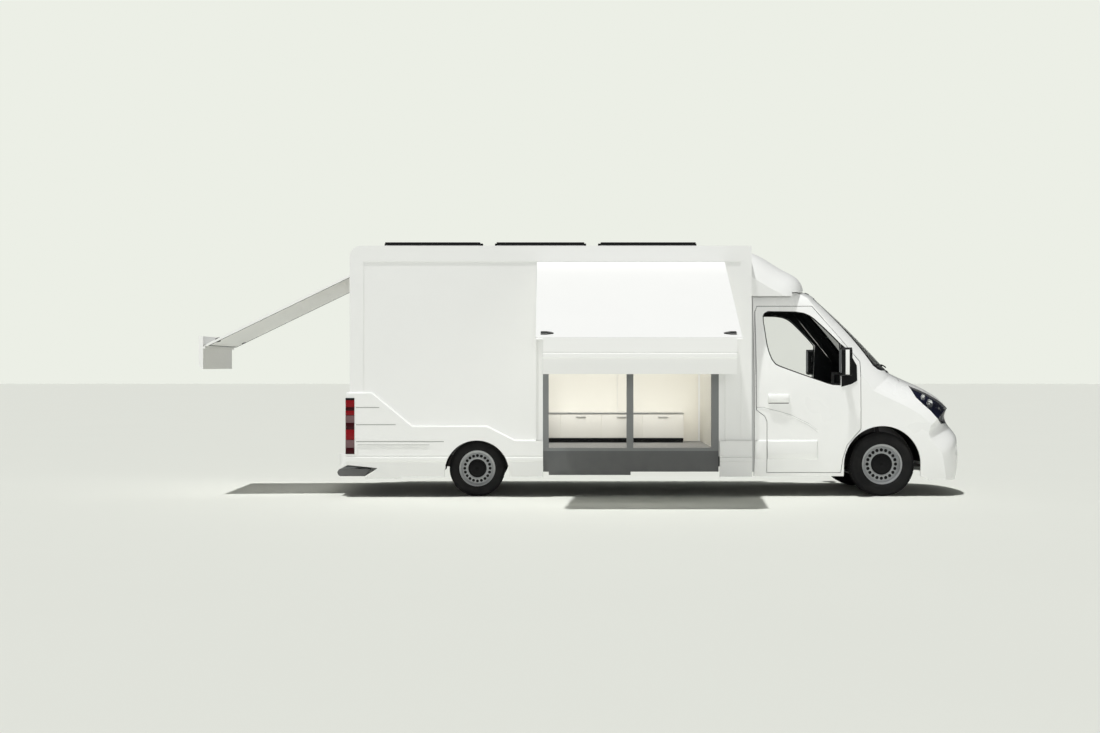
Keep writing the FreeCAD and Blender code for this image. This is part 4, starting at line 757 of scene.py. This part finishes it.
lining("CabLining", "cab_shell", facesCabin, "body")
screenSeal = skinBar("fixed_glass", 0, rounded(shrunk(screenOutline, 24), 45), 45, 46, 1.2, 0.5, True)
screenSeal.piece("ScreenSeal", "blackGloss", smooth=50)
for sideName, side in sides.items():
    door = f"door_{sideName}"
    lining(f"DoorLining_{sideName}", door, facesIn(side), door)
    edge = rounded(shrunk(windowOutline, 6), 20)
    seal = skinBar(f"door_glass_{sideName}", side, edge, 30, 12, 2, 0.5, True)
    seal.piece(f"WindowSeal_{sideName}", "blackTrim", door, 50)
    skinBar(door, side, swageLine, 40, 16, 3, 1).piece(f"DoorSwage_{sideName}", "cabPaint", door, 60)
    # mirror: white strip let into the end of the head, and the glass on its back
    strip = Form().chest((3889, side * 1287, 1305), (3931, side * 1289.8, 1567)).bevelled(1.2, 2)
    strip.piece(f"MirrorStrip_{sideName}", "cabPaint", door)
    face = Form().slab([(side * y, z) for y, z in rounded(mirrorOutline, 14, 3)], "x", 3848.4, 3852)
    face.bevelled(0.8, 1).piece(f"MirrorFace_{sideName}", "mirrorGlass", door)
    # handle: painted shadow under the grip, a thin dark strip on the door skin
    skinBar(door, side, gripLine, 30, 7, 0.8, 1).piece(f"HandleGap_{sideName}", "blackTrim", door)


def wiper(name, foot, tip, blade):
    # an arm from its pivot to the middle of a blade that lies on the glass
    form = Form()
    rows = []
    for index, share in enumerate((0, 0.15, 0.4, 0.7, 1)):
        y, z = (first + (last - first) * share for first, last in zip(foot, tip))
        place, normal = onSkin("fixed_glass", 0, y, z) or onSkin("cab_shell", 0, y, z)
        middle = place + normal * (0.022 - 0.008 * share)
        side = Vector((0, 0.008 - 0.003 * index / 5, 0))
        lift = Vector((0.003, 0, 0.005))
        rows.append([form.mesh.verts.new(middle + (side * u + lift * v)) for u, v in square])
    form.joined(rows, capped=True).piece(name + "Arm", smooth=40)
    skinBar("fixed_glass", 0, blade, 40, 11, 13, 0).piece(name + "Blade", smooth=40)


wiper("WiperRight", (-560, 1362), (-250, 1400), [(-640, 1392), (0, 1408)])
wiper("WiperLeft", (120, 1362), (420, 1400), [(80, 1392), (700, 1410)])
# dark strip between the bonnet and the glass
skinBar("cab_shell", 0, [(-700, 1333), (700, 1333)], 50, 30, 2, 1).piece("CowlStrip", smooth=50)

lampLook = {
    "way": (0.62, 0.72, 0.12),
    "bowls": [(4838, 868, 985, 47), (4942, 800, 893, 52), (4768, 905, 1058, 30)],
    "bulb": [(0.01, -30), (9, -28), (11, -18), (9, 0), (0.01, 0)],
    "fogWay": (1, 0.18, 0),
    "fogPlace": (5128, 745, 480),
    "FogLens": [(0.01, -14), (34, -12), (46, -4), (50, 4), (50, 12), (0.01, 12)],
    "FogCase": [(50, 6), (60, -16), (66, -16), (66, 24), (0.01, 24), (0.01, 14), (50, 14)]}


frameOrigin = (-rearAxle * 1000, -middlePlane * 1000, 0)


def lampPart(profile, around, way, place, side):
    # a form turned about the frame's origin along -Y, made to look this way from its place
    turn = Vector((way[0], way[1] * side, way[2])).to_track_quat("-Y", "Z").to_matrix().to_4x4()
    spot = Matrix.Translation(at(place[0], place[1] * side, place[2]))
    return Form().turned(profile, frameOrigin, around).moved(spot @ turn)


def reflector(radius):
    depth = radius * 0.75
    return [(0.01, 0), (radius * 0.35, -depth * 0.08), (radius * 0.7, -depth * 0.42), (radius, -depth),
            (radius + 4, -depth), (radius + 4, 3 - depth), (radius * 0.75, -depth * 0.3), (radius * 0.3, 6),
            (0.01, 6)]


for sideName, side in sides.items():
    # the lamp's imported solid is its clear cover; the dark case and the bowls stand inside it
    case = plainCopy("headlamps")
    other = [spot for spot in case.verts if (spot.co.y - middlePlane) * side < 0]
    bmesh.ops.delete(case, geom=other, context="VERTS")
    middle = sum((spot.co for spot in case.verts), Vector()) / len(case.verts)
    for spot in case.verts:
        spot.co = middle + (spot.co - middle) * 0.90 + Vector((-0.012, -0.012 * side, -0.006))
    Form(case).piece(f"LampCase_{sideName}", "lampCase", smooth=40)
    for index, (*place, radius) in enumerate(lampLook["bowls"]):
        bowl = lampPart(reflector(radius), 40, lampLook["way"], place, side)
        bowl.piece(f"LampBowl{index}_{sideName}", "chrome", smooth=30)
        bulb = lampPart(lampLook["bulb"], 20, lampLook["way"], place, side)
        bulb.piece(f"LampBulb{index}_{sideName}", "clearLens", smooth=50)
    for name, finish, smooth in (("FogLens", "clearLens", 50), ("FogCase", "blackTrim", 40)):
        fog = lampPart(lampLook[name], 36, lampLook["fogWay"], lampLook["fogPlace"], side)
        fog.piece(f"{name}_{sideName}", finish, smooth=smooth)

archLook = {"Front": (4332, 343, 407.8, 560, 972), "Rear": (0, 262, 339.6, 762, 1030)}
cabSealLook = {"x": (2927, 2962), "in": (12, 36), "heights": range(262, 2130, 62)}


def flank(z):
    # half width of the cab at this height
    section = [(100, 950), (340, 985), (750, 1003), (1050, 1004), (1330, 985), (1740, 905), (2030, 832),
               (2150, 775)]
    for (low, first), (high, last) in zip(section, section[1:]):
        if z <= high:
            return first + (last - first) * (z - low) / (high - low)
    return section[-1][1]


for sideName, side in sides.items():
    for end, (x, z, radius, near, far) in archLook.items():
        # dark felt shell just inside the wheelhouse
        corners = ((radius, near), (radius, far), (radius + 1.4, far), (radius + 1.4, near))
        turns = [math.radians(4 + 172 * step / 24) for step in range(25)]
        shell = Form().closedBar([[(x + reach * math.cos(turn), side * y, z + reach * math.sin(turn))
                                   for reach, y in corners] for turn in turns])
        shell.piece(f"{end}Arch_{sideName}", "archFelt", smooth=40)
    (back, front), (high, low) = cabSealLook["x"], cabSealLook["in"]
    seal = Form().closedBar([[(x, side * (flank(z) - sunk), z) for x, sunk in (
        (back, high), (front, high), (front, low), (back, low))] for z in cabSealLook["heights"]])
    seal.piece(f"CabSeal_{sideName}", "paleSeal", smooth=40)

noseLook = {"front": 5276, "half": 1060, "sweep": 160, "corner": 260}


def noseBar(corners, half, pitch, follow=1.0):
    # a bar across the nose: (behind, height) corners, bent back with the bumper's sweep
    sections = []
    for y in range(-half, half + 1, pitch):
        share = abs(y) / noseLook["half"]
        back = (noseLook["sweep"] * share ** 2 + noseLook["corner"] * share ** 8) * follow
        sections.append([(noseLook["front"] - behind - back, y, z) for behind, z in corners])
    return Form().closedBar(sections)


slat = noseBar([(52, -5), (36, -2), (36, 3), (52, 5)], 575, 50)
slats = repeated("IntakeSlats", slat, rowTree, "blackTrim", (0, 0, 444), {"Count": 4, "Step": (0, 0, 0.031)})
dressed(slats, "blackTrim", "body", 40)
noseBar([(66, 405), (60, 405), (60, 575), (66, 575)], 590, 59).piece("IntakeBack", smooth=40)
noseBar([(175, 812), (168, 812), (190, 915), (197, 915)], 500, 50).piece("GrilleBack", smooth=40)
plate = noseBar([(44, 604), (33, 604), (45, 714), (56, 714)], 260, 26, 0.8)
plate.piece("BlankPlate_front", "blankPlate", smooth=30)
aerial = Form().closedBar([[(3640 + 8 * share, 5 * share - 12, 2206 + 14 * share),
                            (3640 + 8 * share, 12 - 5 * share, 2206 + 14 * share),
                            (3700 - 14 * share, 9 - 4 * share, 2190 + 16 * share),
                            (3700 - 14 * share, 4 * share - 9, 2190 + 16 * share)] for share in (0, 0.6, 1)])
aerial.bevelled(2, 1).piece("AerialFoot", smooth=40)
print("cab: linings, seals, mirrors, wipers, lamps and grille")


# Seats: each cushion is a crowned pad, filled by a short cloth run
seatLook = {"voxel": 0.014, "pressure": 4.0, "frames": 18, "quality": 5, "cap": 0.016, "across": 485}


def filled(name, form):
    bmesh.ops.remove_doubles(form.mesh, verts=form.mesh.verts, dist=0.0001)
    bmesh.ops.recalc_face_normals(form.mesh, faces=form.mesh.faces)
    pad = added(name, meshOf(name, form.mesh))
    remesh = pad.modifiers.new("Remesh", "REMESH")
    remesh.mode = "VOXEL"
    remesh.voxel_size = seatLook["voxel"]
    applied(pad)
    start = [spot.co.copy() for spot in pad.data.vertices]
    cloth = pad.modifiers.new("Cloth", "CLOTH")
    cloth.settings.use_pressure = True
    cloth.settings.uniform_pressure_force = seatLook["pressure"]
    cloth.settings.effector_weights.gravity = 0
    cloth.settings.quality = seatLook["quality"]
    cloth.point_cache.frame_start = 1
    cloth.point_cache.frame_end = seatLook["frames"]
    for step in range(1, seatLook["frames"] + 1):
        scene.frame_set(step)
    applied(pad)
    scene.frame_set(1)
    for spot, first in zip(pad.data.vertices, start):
        shift = spot.co - first
        if shift.length > seatLook["cap"]:
            spot.co = first + shift.normalized() * seatLook["cap"]
    finer = pad.modifiers.new("Finer", "SUBSURF")
    finer.levels = finer.render_levels = 1
    return applied(pad)


def level(middle, z, back, backHalf, front, frontHalf):
    # one flat section of a pad or a shell, wider or narrower at its front
    return [(back, middle - backHalf, z), (front, middle - frontHalf, z),
            (front, middle + frontHalf, z), (back, middle + backHalf, z)]


def leaning(middle, low, high, thick, half):
    # sections of an upright pad; low and high are the (height, back edge) of its ends
    sections = []
    for share in (0, 0.33, 0.66, 1):
        z, x = (first + (last - first) * share for first, last in zip(low, high))
        wide = half * (1 - 0.06 * share)
        sections.append(level(middle, z, x, wide, x + thick, wide))
    return sections


for sideName, side in sides.items():
    middle = side * seatLook["across"]
    pads = {"Cushion": [level(middle, z, 3175, 205, 3585, 212) for z in (742, 808)],
            "Backrest": leaning(middle, (838, 3165), (1190, 3112), 84, 205),
            "Headrest": leaning(middle, (1236, 3106), (1340, 3092), 64, 118)}
    for label, sections in pads.items():
        pad = filled(f"{label}_{sideName}", Form().closedBar(sections).bevelled(22, 3, 30))
        dressed(pad, "seatCloth", "body", 60)
        if label == "Cushion":
            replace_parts(pad, "cab_seats")
    foot = [(3205, 470), (3540, 470), (3520, 640), (3575, 715), (3575, 732), (3165, 732), (3165, 715),
            (3225, 640)]
    base = Form().slab(foot, "y", middle - 190, middle + 190)
    base.bevelled(8, 2).piece(f"PedestalBox_{sideName}", "cabLining")
    shell = Form().closedBar([level(middle, 740, 3150, 170, 3168, 190),
                              level(middle, 860, 3152, 175, 3164, 200),
                              level(middle, 1180, 3100, 150, 3112, 170)])
    shell.bevelled(4, 2).piece(f"BackShell_{sideName}", "cabLining")
    for index, across in enumerate((-52, 52)):
        rod = Form().closedBar([[(x + u, middle + across + v, z) for u, v in circle(6, 8)]
                                for x, z in ((3128, 1150), (3116, 1260))])
        rod.piece(f"HeadRod{index}_{sideName}", "chrome", smooth=60, slot="seat_fabric")
print("seats: filled pads on their bases")

# Tail lamps: a dark body with separate lenses stacked on it
tailLook = {
    "outline": [(-1298, 1081), (-1298, 1132), (-1380, 1132), (-1394, 1118), (-1394, 1000), (-1356, 1000),
                (-1356, 1081)],
    "middle": (-1350, 1080), "core": 0.95,
    "lenses": [(1034, 1055, "blackTrim"), (957, 1031, "redLens"), (924, 954, "deepRed"),
               (872, 921, "redLens"), (792, 869, "smokedLens"), (722, 789, "deepRed"),
               (612, 719, "redLens"), (527, 609, "smokedLens"), (459, 524, "deepRed")]}
for sideName, side in sides.items():
    (x0, y0), core = tailLook["middle"], tailLook["core"]
    inner = [(x0 + (x - x0) * core, side * (y0 + (y - y0) * core)) for x, y in tailLook["outline"]]
    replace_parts(Form().slab(inner, "z", 459, 1054).piece(f"TailLampBody_{sideName}"), "tail_lamps")
    for index, (low, high, finish) in enumerate(tailLook["lenses"]):
        cover = Form().slab([(x, side * y) for x, y in tailLook["outline"]], "z", low, high)
        cover.bevelled(2.5, 2, 30).piece(f"TailLens{index}_{sideName}", finish, smooth=30, slot="lamp_red")

# Hatches stand open: places on a skin are (across, down from the hinge, inwards)
hatchLook = {"angle": 64.2, "side": (-1068, 2500, "serving_hatch"), "rear": (-1343, 2383, "rear_hatch")}


def onHatch(kind, across, down, inward):
    lean = math.radians(hatchLook["angle"])
    hinge, height, body = hatchLook[kind]
    out = hinge - down * math.sin(lean) + inward * math.cos(lean)
    up = height - down * math.cos(lean) - inward * math.sin(lean)
    return (across, out, up) if kind == "side" else (out, across, up)


latchLook = {"in": 45, "flat": 61, "long": 128, "half": 25, "tip": 5,
             "faces": {"In": (12.2, 13.6, 14.5), "Out": (-12.2, -24.5, -26.6)}}


def latchCover(name, kind, corner, way, down):
    # a drop-shaped cover on each face of the hatch, pointing away from its corner
    near = corner + latchLook["in"] * way
    flat, far = near + latchLook["flat"] * way, near + latchLook["long"] * way
    half, tip = latchLook["half"], latchLook["tip"]
    outline = rounded([(near, down - half), (flat, down - half), (far, down - tip), (far, down + tip),
                       (flat, down + half), (near, down + half)], 9, 3)
    middle = near + latchLook["in"] * way
    for face, levels in latchLook["faces"].items():
        sections = [[onHatch(kind, middle + (u - middle) * grow, down + (v - down) * grow, depth)
                     for u, v in outline] for depth, grow in zip(levels, (1, 1, 0.86))]
        Form().closedBar(sections).piece(name + face, "blackTrim", hatchLook[kind][2], 40)


latchCover("LatchRear", "side", 639, 1, 1843)
latchCover("LatchFront", "side", 2635, -1, 1843)
latchCover("RearLatchRight", "rear", -855, 1, 1631)
latchCover("RearLatchLeft", "rear", 855, -1, 1631)


sealLook = {"in": 26, "down": 44, "wide": 10, "levels": (12, 15)}


def hatchSeal(name, kind, low, high, reach):
    # rubber seal round the edge of the inner face
    low, high, wide = low + sealLook["in"], high - sealLook["in"], sealLook["wide"]
    top, foot = sealLook["down"], reach - sealLook["down"]
    bars = [(low, high, top - wide, top), (low, high, foot, foot + wide), (low, low + wide, top, foot),
            (high - wide, high, top, foot)]
    for index, (u0, u1, v0, v1) in enumerate(bars):
        corners = ((u0, v0), (u1, v0), (u1, v1), (u0, v1))
        seal = Form().closedBar([[onHatch(kind, u, v, depth) for u, v in corners]
                                 for depth in sealLook["levels"]])
        seal.bevelled(1, 1).piece(f"{name}{index}", "blackTrim", hatchLook[kind][2], 40)


hatchSeal("HatchSeal", "side", 639, 2635, 1950)
hatchSeal("RearHatchSeal", "rear", -855, 855, 1775)
print("hatches: latches and seals")

# Skirts: a bevelled cap along the stepped upper edge, and grey strips of painted shade in the grooves behind
# the rear wheel
skirtEdge = [(-1381, 1103), (-1118, 1103), (-687, 747), (107, 747), (405, 596), (627, 596), (2647, 596),
             (2922, 596)]
grooveShadeLook = {"near": 1116.5, "far": 1118.6,
            "shadeStrips": ((958, 950, -1281, -1034), (775, 767, -1281, -861), (596, 588, -1281, -350),
                      (561, 555, -1265, -501))}


def edgeCap(name, points, side):
    rows = []
    for index, place in enumerate(points):
        here = Vector(place)
        before = (here - Vector(points[index - 1])).normalized() if index else None
        after = (Vector(points[index + 1]) - here).normalized() if index + 1 < len(points) else before
        along = after if before is None else (before + after).normalized()
        up = Vector((-along.y, along.x)) / max(0.5, along.dot(after))
        foot, crest = here - up * 2, here + up * 13
        rows.append([(spot.x, side * y, spot.y) for spot, y in (
            (foot, 1125.6), (crest, 1111), (crest, 1066), (foot, 1066))])
    Form().closedBar(rows).piece(name, "boxPaint", smooth=30)


edgeCap("SkirtCap_left", skirtEdge[:5] + skirtEdge[7:], 1)
edgeCap("SkirtCapRear_right", skirtEdge[:6], -1)
edgeCap("SkirtCapFront_right", skirtEdge[6:], -1)
for sideName, side in sides.items():
    near, far = side * grooveShadeLook["near"], side * grooveShadeLook["far"]
    # painted shade: flat grey strips at the floors of the skirt grooves stand for the shade in them
    blocks(f"SkirtBeads_{sideName}", "creaseShade", 0.6, 1,
           [((start, near, low), (end, far, high)) for high, low, start, end in grooveShadeLook["shadeStrips"]])

# Roof: clamps between the panels, feet under them, a black frame round each and the cable gland
panelEnds = [(-998, 22), (204, 1146), (1328, 2348)]
panelLook = {"half": 824.8, "frame": 1.4, "low": 2697.6, "high": 2728.6, "feet": (-605, 605)}
holds = [(x, y, way) for start, end in panelEnds for y in panelLook["feet"]
         for x, way in ((start, -1), (end, 1))]
blocks("PanelClamps", "blackTrim", 2, 2,
       [((x - 12 * way, y - 28, 2697.5), (x + 26 * way, y + 28, 2729)) for x, y, way in holds])
blocks("PanelFeet", "boxPaint", 2, 2,
       [((x + 2 * way, y - 34, 2674), (x + 30 * way, y + 34, 2697)) for x, y, way in holds])
half, thick, low, high = (panelLook[key] for key in ("half", "frame", "low", "high"))
rims = []
for start, end in panelEnds:
    rims += [((start - thick, y, low), (end + thick, y + thick, high)) for y in (-826.3, 824.9)]
    rims += [((x, -half, low), (x + thick, half, high)) for x in (start - thick, end)]
blocks("PanelFrames", "blackTrim", 0, 0, rims, "solar_black")
blocks("CableGland", "blackTrim", 9, 3, [((2400, 380, 2674), (2470, 450, 2712))])

# Inside the box: lined wall and ceiling, light bars, bench fronts, kick plate and bench top
insideLook = {"wall": (-1300, -340, 620, 1580), "ceiling": (-1300, 0, 1300), "lights": (-700, 700, 1700),
              "bays": [426 + place * 476 for place in range(4)]}
blocks("WallLining", "creamWall", 1.2, 1,
       [((x, 1036.5, 507), (x + 956, 1039.8, 2627)) for x in insideLook["wall"]])
blocks("CeilingLining", "ceilingWhite", 1.2, 1,
       [((x, -1032, 2625.5), (min(x + 1296, 2552), 1032, 2628.8)) for x in insideLook["ceiling"]])
blocks("LightBars", "clearLens", 6, 3,
       [((x, -60, 2606), (x + 620, 60, 2625.2)) for x in insideLook["lights"]], "interior_cream")
blocks("BenchFronts", "benchFront", 1.5, 2,
       [((x, 586, 566), (x + 470, 589.8, 832)) for x in insideLook["bays"]])
blocks("BenchPulls", "counterSteel", 2.5, 2,
       [((x + 175, 574, 800), (x + 295, 586, 808)) for x in insideLook["bays"]])
blocks("KickPlate", "blackTrim", 1, 1, [((423, 626, 506), (2328, 629.8, 559))], "interior_cream")
blocks("BenchTop", "counterSteel", 3, 2, [((418, 580, 838.2), (2333, 1036, 852))])
print("box: linings, light bars and bench fronts")

# Cab doors: rub moulding with a bright upper edge and a sloping foot, and a pull handle
doorLook = {"moulding": [(606, 0), (592, 24), (578, 25), (470, 26), (456, 24), (402, 13), (399, 0)],
            "pull": [(1097, 0), (1092, 26), (1084, 34), (1048, 38), (1038, 36), (1006, 25), (1001, 0)]}


def flankBar(name, sideName, profile, stations, body):
    # rows of (height, proud) points along the vehicle, on the door's skin at one place along it
    side = sides[sideName]
    sections = []
    for x, share in stations:
        row = []
        for z, proud in doorLook[profile]:
            skin = onSkin(f"door_{sideName}", side, 3700, z)[0]
            out = proud * share if proud else -1
            row.append((x, (skin.y - middlePlane) * 1000 + side * out, z))
        sections.append(row)
    Form().closedBar(sections).bevelled(2, 2, 40).piece(f"{name}_{sideName}", "cabPaint", body, 40)


for sideName, side in sides.items():
    door = f"door_{sideName}"
    flankBar("RubMoulding", sideName, "moulding", [(3102, 1), (3580, 1), (3626, 0.99), (3638, 0.5)], door)
    flankBar("RubMouldingRear", sideName, "moulding", [(2969, 0.95), (3091, 1)], "body")
    flankBar("PullHandle", sideName, "pull", [(3106, 0.76), (3128, 1), (3312, 1), (3334, 0.76)], door)
    lock = Form().chest((3200, side * 1041, 1030), (3262, side * 1043, 1042)).bevelled(0.8, 1)
    lock.piece(f"LockPlate_{sideName}", "cabPaint", door)
    # painted shade: a thin grey line just above the swage stands for the shade of the crease
    shadeLine = skinBar(door, side, [(x, z + 11) for x, z in swageLine], 40, 5, 0.6, 0.6)
    shadeLine.piece(f"CreaseLine_{sideName}", "creaseShade", door, 60)
print("doors: mouldings and handles")


# Floor, sky and lamps
stageLook = {"backdrop": ((0.838, 0.863, 0.791), 1.0), "sky": ((0.97, 1.0, 0.985), 0.14),
             "floor": (0.78, 0.793, 0.733), "reach": 120, "sun": 2.65, "front": 1.36, "inside": 60}


def studioFloor():
    mesh = bpy.data.meshes.new("StudioFloor")
    reach = stageLook["reach"]
    mesh.from_pydata([(u * reach, v * reach, 0) for u, v in square], [], [(0, 1, 2, 3)])
    shade = stageLook["floor"]
    made = Finish("studioFloor", shade, 0.95, Specular_IOR_Level=0.1)
    made.feed(Base_Color=made.tint(made.mottle(0.4, 2), shade, scaled(shade, 0.985)),
              Roughness=made.mottle(2, 2) * 0.04 + 0.93)
    mesh.materials.append(made.material)
    added("StudioFloor", mesh)


def studioSky():
    # what the camera sees, also through glass, is the backdrop; the rest gets a low even light
    world = bpy.data.worlds.new("StudioSky")
    scene.world = world
    world.use_nodes = True
    tree = world.node_tree
    tree.nodes.clear()
    seen, through = [addNode(tree, "ShaderNodeLightPath", output=f"Is {ray} Ray")
                     for ray in ("Camera", "Transmission")]
    light, backdrop = [addNode(tree, "ShaderNodeBackground", {"Color": (*colour, 1), "Strength": strength})
                       for colour, strength in (stageLook["sky"], stageLook["backdrop"])]
    mix = addNode(tree, "ShaderNodeMixShader", {0: (seen + through).capped(), 1: light, 2: backdrop})
    addNode(tree, "ShaderNodeOutputWorld", {"Surface": mix})


def lamp(name, kind, energy, **settings):
    made = added(name, bpy.data.lights.new(name, kind))
    made.data.energy = energy
    for setting, value in settings.items():
        setattr(made.data, setting, value)
    return made


def sunLamp(name, direction, energy, softness):
    made = lamp(name, "SUN", energy, angle=math.radians(softness))
    made.rotation_euler = Vector(direction).to_track_quat("-Z", "Y").to_euler()
    return made


studioFloor()
studioSky()
sunLamp("HighSun", (0.165, 0.145, -0.976), stageLook["sun"], 1.5)
# the low fill stands for a wide soft wall of light, so it leaves no glint on flat panels
sunLamp("FrontFill", (0.03, 0.99, -0.035), stageLook["front"], 9).visible_glossy = False
# soft panel under the ceiling that stands for the light bars
glow = lamp("InsideGlow", "AREA", stageLook["inside"], shape="RECTANGLE", size=3.0, size_y=0.5)
glow.location = at(1100, -250, 2560)
glow.rotation_euler = (math.radians(38), 0, 0)
print("stage: floor, sky and lamps")
